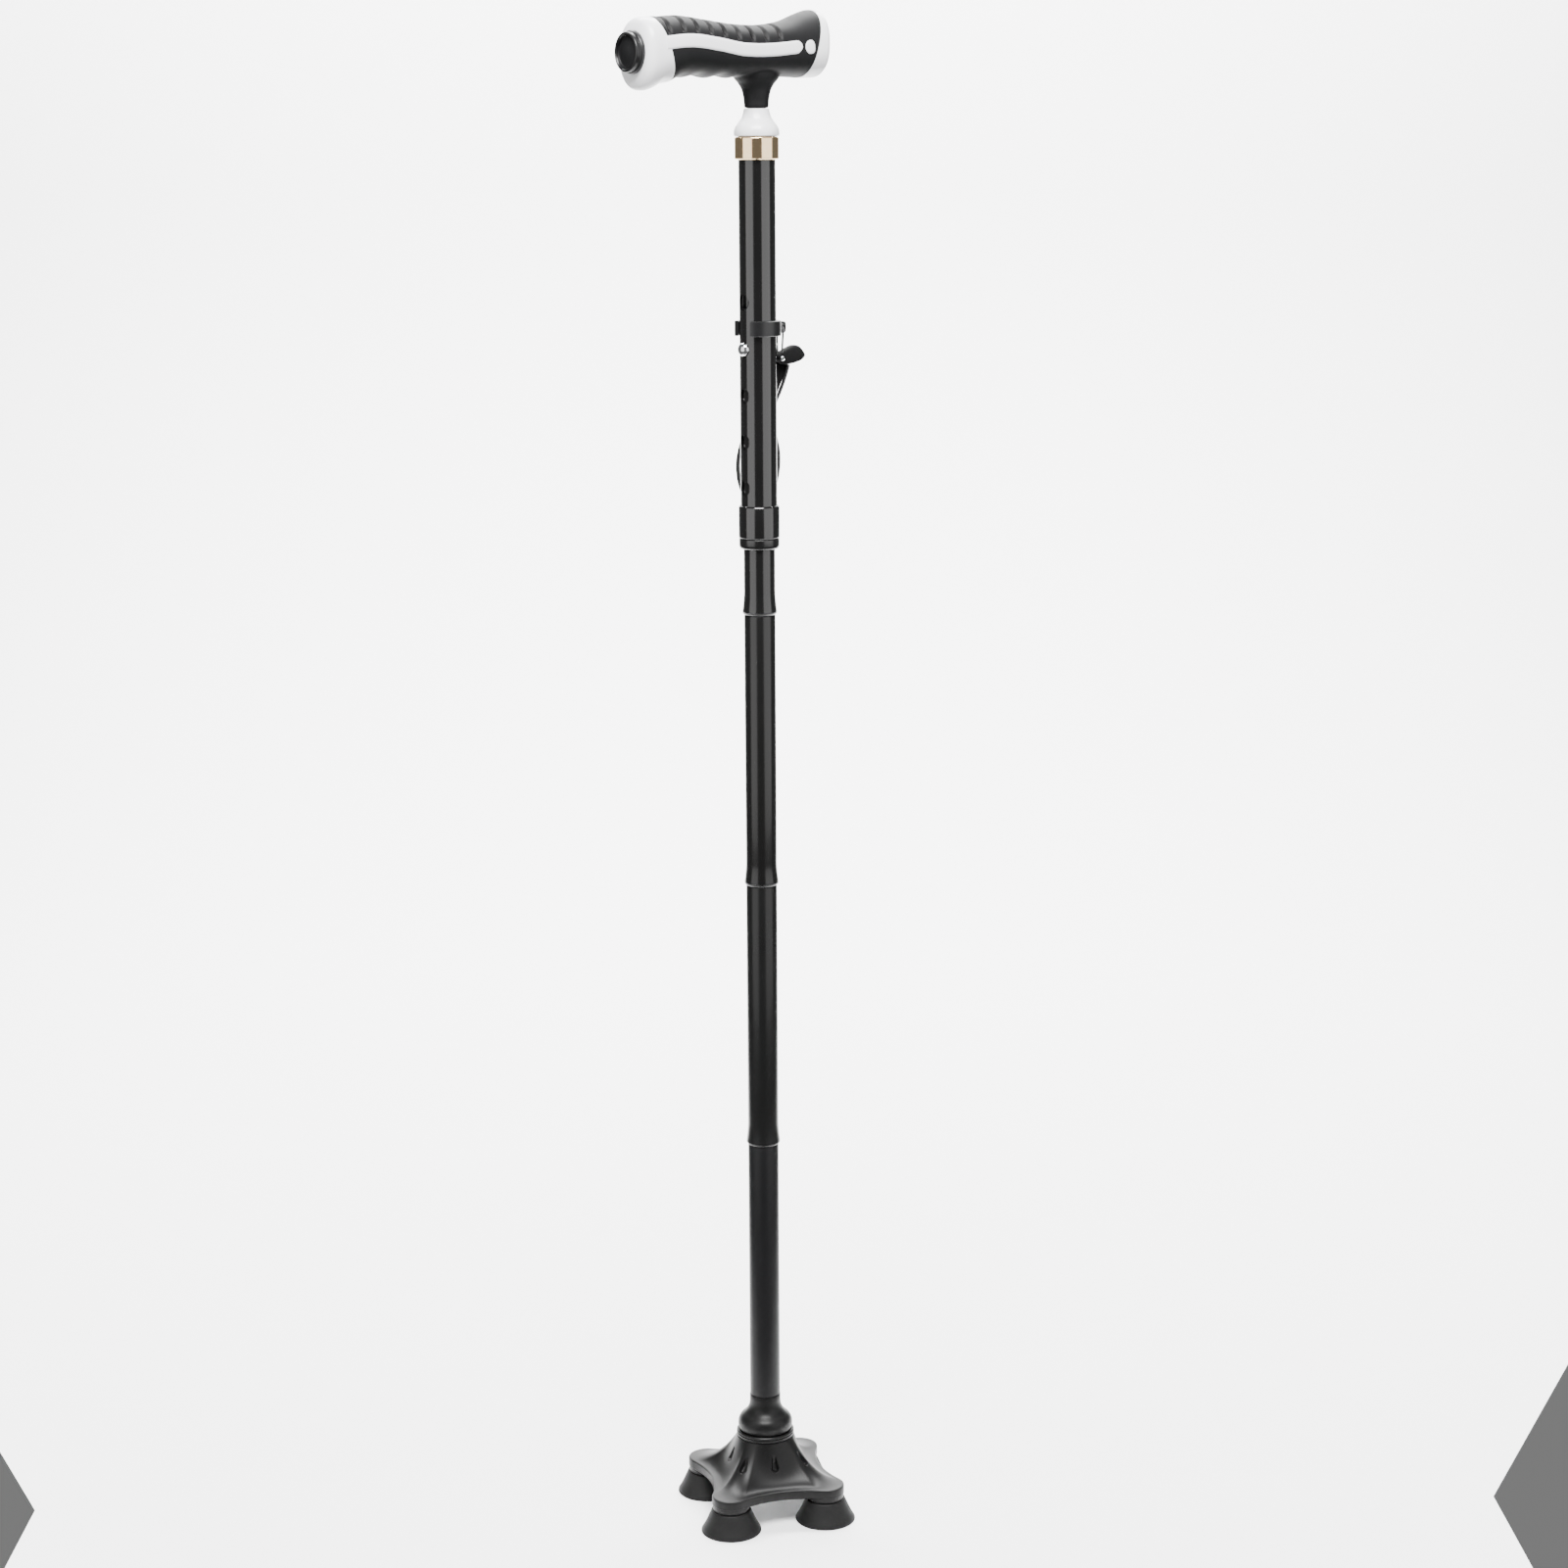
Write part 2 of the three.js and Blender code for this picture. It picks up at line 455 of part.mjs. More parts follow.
// ---- four-cornered base ----
// Radius of the base's outline at an angle from the nearest corner, both arcs tangent.
const SIDE_ARC_R = (FOOT_REACH ** 2 - 2 * FOOT_REACH * Math.SQRT1_2 * SIDE_DISTANCE
  + SIDE_DISTANCE ** 2 - CORNER_R ** 2)
  / (2 * (CORNER_R + FOOT_REACH * Math.SQRT1_2 - SIDE_DISTANCE));
const SIDE_ARC_CENTRE = SIDE_DISTANCE + SIDE_ARC_R;
const TANGENT_ANGLE = (() => {
  const away = [SIDE_ARC_CENTRE * Math.SQRT1_2 - FOOT_REACH, SIDE_ARC_CENTRE * Math.SQRT1_2];
  const reach = CORNER_R / Math.hypot(...away);
  return Math.atan2(away[1] * reach, FOOT_REACH + away[0] * reach);
})();
function outlineRadius(angle, inset) {
  const quarter = Math.PI / 2;
  const offset = Math.abs(angle - Math.round(angle / quarter) * quarter);
  if (offset <= TANGENT_ANGLE) {
    return FOOT_REACH * Math.cos(offset)
      + Math.sqrt((CORNER_R - inset) ** 2 - (FOOT_REACH * Math.sin(offset)) ** 2);
  }
  const turn = Math.PI / 4 - offset;
  return SIDE_ARC_CENTRE * Math.cos(turn)
    - Math.sqrt((SIDE_ARC_R + inset) ** 2 - (SIDE_ARC_CENTRE * Math.sin(turn)) ** 2);
}

const BASE_SIDES = 48;
const BASE_STEPS = 4;
const SADDLE_POWER = 2.3; // how fast the top surface steepens towards the hub
function starBody() {
  const g = new THREE.CylinderGeometry(1, 1, BASE_STEPS, BASE_SIDES, BASE_STEPS);
  const p = g.attributes.position;
  for (let i = 0; i < p.count; i += 1) {
    const level = Math.round(BASE_STEPS / 2 + p.getY(i));
    const angle = Math.atan2(p.getZ(i), p.getX(i));
    const spoke = Math.hypot(p.getX(i), p.getZ(i));
    const rise = Math.max(0, level - 1) / (BASE_STEPS - 1);
    const rim = outlineRadius(angle, 0);
    const radius = THREE.MathUtils.lerp(rim, RING_R, rise) * spoke;
    const height = level === 0 ? BASE_BOTTOM
      : BASE_RIM_TOP + (RING_BOTTOM - GAP - BASE_RIM_TOP) * rise ** SADDLE_POWER;
    p.setXYZ(i, radius * Math.cos(angle), radius * Math.sin(angle), height);
  }
  return solid(g);
}

const CAVITY_R = 31;
const baseCavity = solid(turned([
  [0, BASE_BOTTOM - 1], [CAVITY_R, BASE_BOTTOM - 1], [CAVITY_R, 20.6], [24.5, 25], [20, 31.5],
  [17.6, 35.5], [17.6, 42.1], ...ballArc(21.6, 47, 20, 3), ...ballArc(19.8, 20, 47, 3),
  ...ballArc(17.4, 47, 60, 2), [15.1, 49.1], [0, 49.1]]));

const footSpots = [0, 1, 2, 3].map((i) => {
  const angle = THREE.MathUtils.degToRad(90 * i);
  return [FOOT_REACH * Math.cos(angle), FOOT_REACH * Math.sin(angle)];
});
const SCREW_R = 2;
const boss = (x, y) => solid(rod(11.4, FOOT_TOP + GAP, BASE_BOTTOM + 1, 20).translate(x, y, 0));
const screwHole = (x, y) => solid(rod(SCREW_R + GAP, 5, 22, 8).translate(x, y, 0));

// Eight drop-shaped recesses round the hub, each a ball stretched along the slope there.
const SLOT_COUNT = 8;
const SLOT_Z = 36.8;
function slotCutter(i) {
  const angle = (i / SLOT_COUNT) * 2 * Math.PI;
  const span = outlineRadius(angle, 0) - RING_R;
  const drop = RING_BOTTOM - GAP - BASE_RIM_TOP;
  const rise = ((SLOT_Z - BASE_RIM_TOP) / drop) ** (1 / SADDLE_POWER);
  const slope = Math.atan2(drop * SADDLE_POWER * rise ** (SADDLE_POWER - 1), span);
  const g = new THREE.SphereGeometry(1, 8, 6).scale(5.2, 1.7, 1.7);
  g.rotateY(slope).translate(RING_R + span * (1 - rise), 0, SLOT_Z);
  return solid(g.rotateZ(angle));
}
const slots = Array.from({ length: SLOT_COUNT }, (_, i) => slotCutter(i));

const base = new THREE.Group();
base.rotation.z = THREE.MathUtils.degToRad(BASE_YAW - 45);
cane.add(base);
function addToBase(name, material, geometry) {
  add(name, material, geometry);
  base.add(cane.children.at(-1));
}

addToBase('base_body', BLACK_NYLON(), geometryOf(cut(
  joined(starBody(), ...footSpots.map(([x, y]) => boss(x, y))),
  baseCavity, ...slots, ...footSpots.map(([x, y]) => screwHole(x, y)))));
addToBase('base_ring', BLACK_NYLON(), turnedRing([
  [15.1, RING_BOTTOM], [RING_R, RING_BOTTOM], [RING_R, RING_TOP - 0.6], [RING_R - 0.5, RING_TOP],
  [16.75, RING_TOP]], 28));

// A steel plate closes the hub from below and keeps the cane's weight low.
addToBase('bottom_plate', STEEL(), rod(CAVITY_R - GAP, BASE_BOTTOM, BASE_BOTTOM + 2.7));

// ---- rubber cup feet ----
const CUP_TOP = 5.5; // deepest point of the hollow under each foot
footSpots.forEach(([x, y], i) => {
  addToBase(`foot_${i + 1}`, BLACK_RUBBER(), turned([
    [0, CUP_TOP], [6, CUP_TOP - 0.4], [11.5, 2.6], [15, 0], [FOOT_R - 0.3, 0], [FOOT_R, 0.8],
    [15.6, 7], [12.8, FOOT_TOP - 0.6], [12.2, FOOT_TOP],
    [SCREW_R + GAP, FOOT_TOP], [SCREW_R + GAP, CUP_TOP + 3], [0, CUP_TOP + 3]], 18)
    .translate(x, y, 0));
});
footSpots.forEach(([x, y], i) => {
  addToBase(`foot_screw_${i + 1}`, STEEL(), rod(SCREW_R, CUP_TOP + 3 + GAP, 21.6, 8)
    .translate(x, y, 0));
});

cane.position.x = -(BUTTON_FACE + FOOTPRINT_REACH) / 2;
export default cane;
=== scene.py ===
import math

import bmesh
import bpy
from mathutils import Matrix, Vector


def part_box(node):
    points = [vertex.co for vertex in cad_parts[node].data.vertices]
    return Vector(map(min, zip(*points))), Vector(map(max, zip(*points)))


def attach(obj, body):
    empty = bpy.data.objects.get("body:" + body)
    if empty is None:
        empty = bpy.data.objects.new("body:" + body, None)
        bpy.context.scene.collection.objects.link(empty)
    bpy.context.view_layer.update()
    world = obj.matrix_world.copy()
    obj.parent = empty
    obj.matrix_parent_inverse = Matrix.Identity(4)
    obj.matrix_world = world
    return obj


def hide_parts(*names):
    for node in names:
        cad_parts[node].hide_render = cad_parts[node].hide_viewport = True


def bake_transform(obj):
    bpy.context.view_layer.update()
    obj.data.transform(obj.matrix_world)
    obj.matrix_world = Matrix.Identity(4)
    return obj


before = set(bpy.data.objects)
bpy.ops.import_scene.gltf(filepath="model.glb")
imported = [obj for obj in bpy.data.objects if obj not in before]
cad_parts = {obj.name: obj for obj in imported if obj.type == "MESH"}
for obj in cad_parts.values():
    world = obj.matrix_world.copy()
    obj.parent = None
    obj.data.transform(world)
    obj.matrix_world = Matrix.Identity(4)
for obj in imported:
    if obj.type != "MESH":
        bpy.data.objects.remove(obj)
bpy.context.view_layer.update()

# ---- Camera, floor and light -------------------------------------------------------------
# A plain studio sweep with the camera level with the ferrule, a little left of the handle's
# front, looking slightly down.
MM = 0.001
tube_low, tube_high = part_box("outer_tube")
AXIS_X = (tube_low[0] + tube_high[0]) / 2
AXIS_Y = (tube_low[1] + tube_high[1]) / 2


def at(x, y, z):
    """A place in millimetres from the foot of the tube's axis."""
    return Vector((AXIS_X + x * MM, AXIS_Y + y * MM, z * MM))


def linear(code):
    """A hex sRGB colour as linear RGBA."""
    parts = [int(code[i:i + 2], 16) / 255 for i in (1, 3, 5)]
    return [p / 12.92 if p <= 0.04045 else ((p + 0.055) / 1.055) ** 2.4 for p in parts] + [1.0]


CAMERA_AZIMUTH = math.radians(-37)
CAMERA_DISTANCE = 1838
CAMERA_HEIGHT = 856
camera_data = bpy.data.cameras.new("camera")
camera_data.lens = 70.3
camera_data.sensor_width = 36
camera_data.clip_end = 50
camera = bpy.data.objects.new("camera", camera_data)
bpy.context.collection.objects.link(camera)
camera.location = at(CAMERA_DISTANCE * math.sin(CAMERA_AZIMUTH),
                     -CAMERA_DISTANCE * math.cos(CAMERA_AZIMUTH), CAMERA_HEIGHT)
LOOK_DOWN = math.radians(11.755)
LOOK_RIGHT = math.radians(0.44)
ROLL = math.radians(0.3)
camera.rotation_euler = (math.radians(90) - LOOK_DOWN, 0, CAMERA_AZIMUTH - LOOK_RIGHT)
camera.rotation_euler.rotate_axis("Z", -ROLL)
bpy.context.scene.camera = camera


def add_node(tree, kind, settings=None, links=None):
    """Adds a node, sets its settings or sockets by name, and links its inputs."""
    node = tree.nodes.new(kind)
    for name, value in (settings or {}).items():
        if name in node.inputs:
            node.inputs[name].default_value = value
        else:
            setattr(node, name, value)
    for name, source in (links or {}).items():
        tree.links.new(source, node.inputs[name])
    return node


def new_material(name, **sockets):
    """A material with its Principled shader's own sockets set; returns it, its tree and shader."""
    material = bpy.data.materials.new(name)
    material.use_nodes = True
    shader = material.node_tree.nodes["Principled BSDF"]
    for socket, value in sockets.items():
        shader.inputs[socket.replace("_", " ")].default_value = value
    return material, material.node_tree, shader


def place(tree, scale=1.0):
    """Object coordinates in millimetres times scale."""
    where = add_node(tree, "ShaderNodeTexCoord")
    return add_node(tree, "ShaderNodeVectorMath", {"operation": "SCALE", "Scale": 1000 * scale},
                    {"Vector": where.outputs["Object"]}).outputs["Vector"]


world = bpy.data.worlds.new("studio")
world.use_nodes = True
world.node_tree.nodes["Background"].inputs["Color"].default_value = (1, 1, 1, 1)
world.node_tree.nodes["Background"].inputs["Strength"].default_value = 0.2
bpy.context.scene.world = world


def tint_between(tree, shader, factor, low, high):
    """Drives a shader's base colour between two linear colours."""
    mix = add_node(tree, "ShaderNodeMix", {"data_type": "RGBA"}, {0: factor})
    mix.inputs[6].default_value = low
    mix.inputs[7].default_value = high
    tree.links.new(mix.outputs[2], shader.inputs["Base Color"])


def sheet_object(name, verts, faces, material):
    """An open sheet that keeps its vertices as they are."""
    mesh = bpy.data.meshes.new(name)
    mesh.from_pydata(verts, [], faces)
    piece = bpy.data.objects.new(name, mesh)
    bpy.context.collection.objects.link(piece)
    mesh.materials.append(material)
    return piece


floor_paper, floor_tree, floor_shader = new_material("matt_white_paper", Roughness=0.9)
fibre = add_node(floor_tree, "ShaderNodeTexNoise", {"Scale": 0.02, "Detail": 3.0},
                 {"Vector": place(floor_tree)})
tint_between(floor_tree, floor_shader, fibre.outputs["Fac"], linear("#f7f7f7"), linear("#fafafa"))
PAPER_NARROW, PAPER_WIDE = 470, 1100
PAPER_FRONT, PAPER_BEND, PAPER_TOP = -170, 1300, 2200
BEND_R = 800
DEPTH = Vector((0.6, 0.8, 0))
WIDTH = Vector((0.8, -0.6, 0))
sweep = [(PAPER_FRONT, 0), (0, 0)]
sweep += [(PAPER_BEND + BEND_R * math.sin(math.radians(a)), BEND_R * (1 - math.cos(math.radians(a))))
          for a in range(0, 91, 5)]
sweep.append((PAPER_BEND + BEND_R, PAPER_TOP))
paper_verts = []
for depth, height in sweep:
    half = PAPER_NARROW + (PAPER_WIDE - PAPER_NARROW) * min(1, max(0, depth / PAPER_BEND))
    for side in (-half, half):
        spot = DEPTH * depth + WIDTH * side
        paper_verts.append(at(spot.x, spot.y, height))
floor = sheet_object("paper_sweep", paper_verts,
                     [(2 * i, 2 * i + 1, 2 * i + 3, 2 * i + 2) for i in range(len(sweep) - 1)],
                     floor_paper)
floor.data.polygons.foreach_set("use_smooth", [True] * len(floor.data.polygons))


def softbox(name, azimuth, distance, height, width, tall, power, aim):
    """A rectangular light at an azimuth about the cane, aimed at a (distance, height) point."""
    data = bpy.data.lights.new(name, "AREA")
    data.shape = "RECTANGLE"
    data.size = width * MM
    data.size_y = tall * MM
    data.energy = power
    lamp = bpy.data.objects.new(name, data)
    lamp.visible_camera = False
    bpy.context.collection.objects.link(lamp)
    angle = math.radians(azimuth)
    lamp.location = at(distance * math.sin(angle), -distance * math.cos(angle), height)
    toward = at(aim[0] * math.sin(angle), -aim[0] * math.cos(angle), aim[1]) - lamp.location
    lamp.rotation_euler = toward.to_track_quat("-Z", "Y").to_euler()


softbox("left_softbox", -87, 1500, 900, 1400, 1500, 18, (0, 750))
softbox("right_softbox", 19, 1700, 900, 1900, 1500, 24, (0, 750))
softbox("background_light", 143, 1000, 2300, 2400, 800, 320, (2100, 300))
softbox("key_light", -37, 1150, 2250, 1400, 800, 170, (0, 700))


# ---- Tubes: gloss black anodised aluminium -----------------------------------------------
# Drawn aluminium tube, 22 mm above the lock and 19 mm below, hard anodised black and lacquered.
# Drawing leaves faint lines along the tube; the lacquer keeps a clean reflection.
def finish_mesh(piece, material, angle=30, bevel=0.0):
    """Smooth shading with sharp creases, an optional small edge radius, and the material."""
    mesh = piece.data
    if material.name not in mesh.materials:
        mesh.materials.append(material)
    mesh.polygons.foreach_set("use_smooth", [True] * len(mesh.polygons))
    mesh.set_sharp_from_angle(angle=math.radians(angle))
    if bevel:
        edge = piece.modifiers.new("edge_radius", "BEVEL")
        edge.width = bevel * MM
        edge.segments = 2
        edge.limit_method = "ANGLE"
        edge.angle_limit = math.radians(angle)
        edge.harden_normals = False
    return piece


def mesh_piece(name, verts, faces, material, angle=30, bevel=0.0):
    """A closed piece from vertices and faces, cleaned and with its normals outwards."""
    mesh = bpy.data.meshes.new(name)
    mesh.from_pydata([tuple(v) for v in verts], [], faces)
    build = bmesh.new()
    build.from_mesh(mesh)
    bmesh.ops.remove_doubles(build, verts=build.verts, dist=1e-6)
    bmesh.ops.dissolve_degenerate(build, edges=build.edges, dist=1e-7)
    bmesh.ops.recalc_face_normals(build, faces=build.faces)
    build.to_mesh(mesh)
    build.free()
    piece = bpy.data.objects.new(name, mesh)
    bpy.context.collection.objects.link(piece)
    return finish_mesh(piece, material, angle, bevel)


def revolved_faces(turns, count, closed=True):
    """Quads of a turned piece: columns of count points, joined all the way round the axis."""
    return [(k * count + i, (k + 1) % turns * count + i,
             (k + 1) % turns * count + (i + 1) % count, k * count + (i + 1) % count)
            for k in range(turns) for i in range(count if closed else count - 1)]


def turned(name, outline, material, sides=96, ring=True, centre=(0, 0), angle=30, bevel=0.0):
    """A turned piece about a vertical axis from [radius, height] points in millimetres."""
    verts = []
    for k in range(sides):
        turn = 2 * math.pi * k / sides
        for radius, height in outline:
            verts.append(at(centre[0] + radius * math.cos(turn),
                            centre[1] + radius * math.sin(turn), height))
    return mesh_piece(name, verts, revolved_faces(sides, len(outline), ring), material, angle, bevel)


def arc(centre_r, centre_z, radius, start, end, steps=8):
    """Points of an arc in the turned outline's plane, angles in degrees from +r towards +z."""
    return [(centre_r + radius * math.cos(math.radians(start + (end - start) * i / steps)),
             centre_z + radius * math.sin(math.radians(start + (end - start) * i / steps)))
            for i in range(steps + 1)]


def rough_between(tree, shader, factor, low, high):
    """Drives a shader's roughness between two values."""
    rough = add_node(tree, "ShaderNodeMapRange", {"To Min": low, "To Max": high}, {"Value": factor})
    tree.links.new(rough.outputs["Result"], shader.inputs["Roughness"])


def add_relief(tree, shader, height, strength, distance):
    """Bump on a shader's normal, with its distance in metres."""
    relief = add_node(tree, "ShaderNodeBump", {"Strength": strength, "Distance": distance},
                      {"Height": height})
    tree.links.new(relief.outputs["Normal"], shader.inputs["Normal"])


def scaled(colour, factor):
    """A hex colour made lighter or darker, as linear RGBA."""
    return [c * factor for c in linear(colour)[:3]] + [1]


def anodised_black(name, colour, roughness, wear, lacquer=0.25, mirror=0.5):
    """Black anodised and lacquered tube, with faint drawing lines and light handling haze."""
    material, tree, shader = new_material(name, IOR=1.5, Coat_Weight=lacquer,
                                          Coat_Roughness=0.06, Specular_IOR_Level=mirror)
    spot = place(tree)
    lines = add_node(tree, "ShaderNodeVectorMath", {"operation": "MULTIPLY"}, {0: spot})
    lines.inputs[1].default_value = (2.2, 2.2, 0.01)
    drawn = add_node(tree, "ShaderNodeTexNoise", {"Scale": 1.0, "Detail": 3.0},
                     {"Vector": lines.outputs["Vector"]})
    haze = add_node(tree, "ShaderNodeTexNoise", {"Scale": 0.035, "Detail": 4.0}, {"Vector": spot})
    rough_between(tree, shader, haze.outputs["Fac"], roughness, roughness + wear)
    tint_between(tree, shader, haze.outputs["Fac"], linear(colour), scaled(colour, 1.5))
    add_relief(tree, shader, drawn.outputs["Fac"], 0.12, 0.00002)
    return material


upper_black = anodised_black("gloss_black_lacquered_aluminium", "#090909", 0.13, 0.05)
OUTER_R = (tube_high[1] - tube_low[1]) / 2 / MM
OUTER_BORE = OUTER_R - 1.2
HOLE_PITCH = 27.5
TOP_HOLE = 765.8
HOLE_R = 4.6


def cut_holes(piece, heights, radius, edge=0.25):
    """Drills pairs of holes along X through a tube and leaves a small radius on their edges."""
    for height in heights:
        drill = turned("drill", [(0, -20), (radius, -20), (radius, 20), (0, 20)], upper_black,
                       sides=40, ring=False, centre=(-AXIS_X / MM, -AXIS_Y / MM))
        drill.rotation_euler = (0, math.pi / 2, 0)
        drill.location = at(0, 0, height)
        boolean = piece.modifiers.new("hole", "BOOLEAN")
        boolean.operation = "DIFFERENCE"
        boolean.solver = "EXACT"
        boolean.object = drill
        bpy.context.view_layer.update()
        apply_modifiers(piece)
        bpy.data.objects.remove(drill)
    return finish_mesh(piece, piece.data.materials[0], 25, edge)


def apply_modifiers(piece):
    """Bakes a piece's modifiers into its mesh."""
    graph = bpy.context.evaluated_depsgraph_get()
    mesh = bpy.data.meshes.new_from_object(piece.evaluated_get(graph))
    piece.modifiers.clear()
    piece.data = mesh


outer_tube = turned("outer_tube_skin", [(OUTER_BORE, tube_low[2] / MM), (OUTER_R, tube_low[2] / MM),
                                        (OUTER_R, tube_high[2] / MM), (OUTER_BORE, tube_high[2] / MM)],
                    upper_black)
cut_holes(outer_tube, [TOP_HOLE - HOLE_PITCH * i for i in range(5)], HOLE_R)
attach(outer_tube, "handle")
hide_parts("outer_tube")

# ---- Folding sections --------------------------------------------------------------------
# Four lengths of 19 mm tube. The upper three end in a flared mouth with a turned-in nylon lip,
# and the finish gets a little more matt and grey from the lock down to the base.
LOWER_R = 9.5
LOWER_BORE = LOWER_R - 1.2
joint_planes = [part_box(f"socket_bush_{i}")[0][2] / MM - 0.15 for i in (1, 2, 3)]
section_bodies = ["inner_tube", "section_2", "section_3", "section_4"]
section_nodes = ["inner_tube", "section_2_tube", "section_3_tube", "section_4_tube"]
section_blacks = [
    anodised_black("gloss_black_anodised_section_1", "#0a0a0a", 0.16, 0.05, 0.2, 0.45),
    anodised_black("gloss_black_anodised_section_2", "#0b0b0b", 0.2, 0.06, 0.1, 0.3),
    anodised_black("satin_black_anodised_section_3", "#0d0d0d", 0.25, 0.07, 0.05, 0.22),
    anodised_black("satin_black_anodised_section_4", "#0f0f10", 0.32, 0.08, 0.0, 0.14)]
FLARE_R = 10.5
FLARE_RISE = 12.5
for number, (node, body) in enumerate(zip(section_nodes, section_bodies)):
    low, high = [corner[2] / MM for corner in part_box(node)]
    if number < 3:
        plane = joint_planes[number]
        flare = [(LOWER_R + (FLARE_R - LOWER_R) * (1 - t / 8) ** 1.6, low + 0.5 + (FLARE_RISE - 0.5) * t / 8)
                 for t in range(9)]
        mouth = [(9.3, low), (FLARE_R - 0.15, low), (FLARE_R, low + 0.2), *flare]
        bore = [(LOWER_BORE, plane + 12), (9.3, plane + 8.8)]
    else:
        mouth = [(LOWER_BORE, low), (LOWER_R, low)]
        bore = []
    skin = turned(f"{node}_skin", [*mouth, (LOWER_R, high - 0.6), (LOWER_R - 0.2, high - 0.15),
                                   (LOWER_R - 0.5, high), (LOWER_BORE, high), *bore],
                  section_blacks[number])
    if number == 0:
        cut_holes(skin, [TOP_HOLE - HOLE_PITCH], HOLE_R)
    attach(skin, body)
    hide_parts(node)


# ---- Joint plugs and lips ----------------------------------------------------------------
# Injection-moulded glass-filled nylon: a bush with a chamfered lip in each flared mouth, and a
# domed plug in the top of the section below it, bored for the shock cord.
def moulded_nylon(name, colour, roughness, grain_mm, sheen=0.5):
    """Fine spark-eroded texture of a moulded part; the grain is drawn a little coarser to show."""
    material, tree, shader = new_material(name, IOR=1.52, Specular_IOR_Level=sheen)
    spot = place(tree)
    grain = add_node(tree, "ShaderNodeTexNoise", {"Scale": 1 / grain_mm, "Detail": 2.0},
                     {"Vector": spot})
    cloud = add_node(tree, "ShaderNodeTexNoise", {"Scale": 0.05, "Detail": 3.0}, {"Vector": spot})
    tint_between(tree, shader, cloud.outputs["Fac"], linear(colour), scaled(colour, 1.25))
    rough_between(tree, shader, cloud.outputs["Fac"], roughness - 0.05, roughness + 0.08)
    add_relief(tree, shader, grain.outputs["Fac"], 0.18, 0.00004)
    return material


black_nylon = moulded_nylon("satin_black_moulded_nylon", "#0d0d0e", 0.34, 0.35, 0.35)
PLUG_R = 7.6
CORD_PASS = 3
for number, plane in enumerate(joint_planes):
    lip = turned(f"socket_lip_{number + 1}", [
        (8.9, plane + 0.15), (9.45, plane + 0.15), (FLARE_R - 0.15, plane + 1.25),
        (FLARE_R - 0.2, plane + 1.4), (9, plane + 1.4), (9, plane + 8.5), (8.3, plane + 8.5),
        (8.3, plane + 5)], black_nylon)
    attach(lip, section_bodies[number])
    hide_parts(f"socket_bush_{number + 1}")
    dome = arc(0, plane + 2.5, PLUG_R, 0, 46)
    plug = turned(f"joint_plug_{number + 1}_moulding", [
        (CORD_PASS, plane - 18), (LOWER_BORE - 0.3, plane - 18), (LOWER_BORE - 0.3, plane - 0.2),
        (PLUG_R, plane - 0.1), *dome, (4.2, plane + 6.4), (CORD_PASS, plane + 2)], black_nylon)
    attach(plug, section_bodies[number + 1])
    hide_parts(f"joint_plug_{number + 1}")

# ---- Shock cord --------------------------------------------------------------------------
# Rubber core in a black polyester braid, 4.4 mm, threaded through every section and knotted at both ends. At
# each joint a short length of cord is built straight; the real cord turns the corner there when the cane is
# folded.
SHOCK_R = 2.2


def braided_cord(name, strand_mm, stretch):
    """Diagonal braid drawn from the cord's own length and girth in its UV map, in millimetres."""
    material, tree, shader = new_material(name, Roughness=0.72, Sheen_Weight=0.25, IOR=1.48)
    where = add_node(tree, "ShaderNodeUVMap")
    waves = []
    for side in (1, -1):
        turn = add_node(tree, "ShaderNodeMapping", links={"Vector": where.outputs["UV"]})
        turn.inputs["Rotation"].default_value = (0, 0, side * math.radians(38))
        turn.inputs["Scale"].default_value = (stretch / strand_mm, 1 / strand_mm, 1)
        waves.append(add_node(tree, "ShaderNodeTexWave", {"Scale": 0.5, "Distortion": 0.3},
                              {"Vector": turn.outputs["Vector"]}).outputs["Fac"])
    weave = add_node(tree, "ShaderNodeMath", {"operation": "MAXIMUM"}, {0: waves[0], 1: waves[1]})
    tint_between(tree, shader, weave.outputs["Value"], linear("#0e0e0f"), linear("#2b2b2d"))
    add_relief(tree, shader, weave.outputs["Value"], 0.6, 0.00015)
    return material


def cord_tube(name, outline, material, steps_mm=1.0, sides=20):
    """A round cord standing on the tube axis from [radius, height] points, with its UVs in mm."""
    dense = [outline[0]]
    for (r0, z0), (r1, z1) in zip(outline, outline[1:]):
        count = max(1, round(abs(z1 - z0) / steps_mm))
        dense += [(r0 + (r1 - r0) * i / count, z0 + (z1 - z0) * i / count) for i in range(1, count + 1)]
    piece = turned(name, [(0, dense[0][1]), *dense, (0, dense[-1][1])], material, sides=sides,
                   ring=False, angle=60)
    layer = piece.data.uv_layers.new(name="UVMap")
    for polygon in piece.data.polygons:
        turns = []
        for loop in polygon.loop_indices:
            v = piece.data.vertices[piece.data.loops[loop].vertex_index].co
            turns.append(math.atan2(v.y - AXIS_Y, v.x - AXIS_X))
        wrap = max(turns) - min(turns) > math.pi
        for loop, turn in zip(polygon.loop_indices, turns):
            v = piece.data.vertices[piece.data.loops[loop].vertex_index].co
            turn += 2 * math.pi if wrap and turn < 0 else 0
            layer.data[loop].uv = (v.z / MM, turn * SHOCK_R)
    return piece


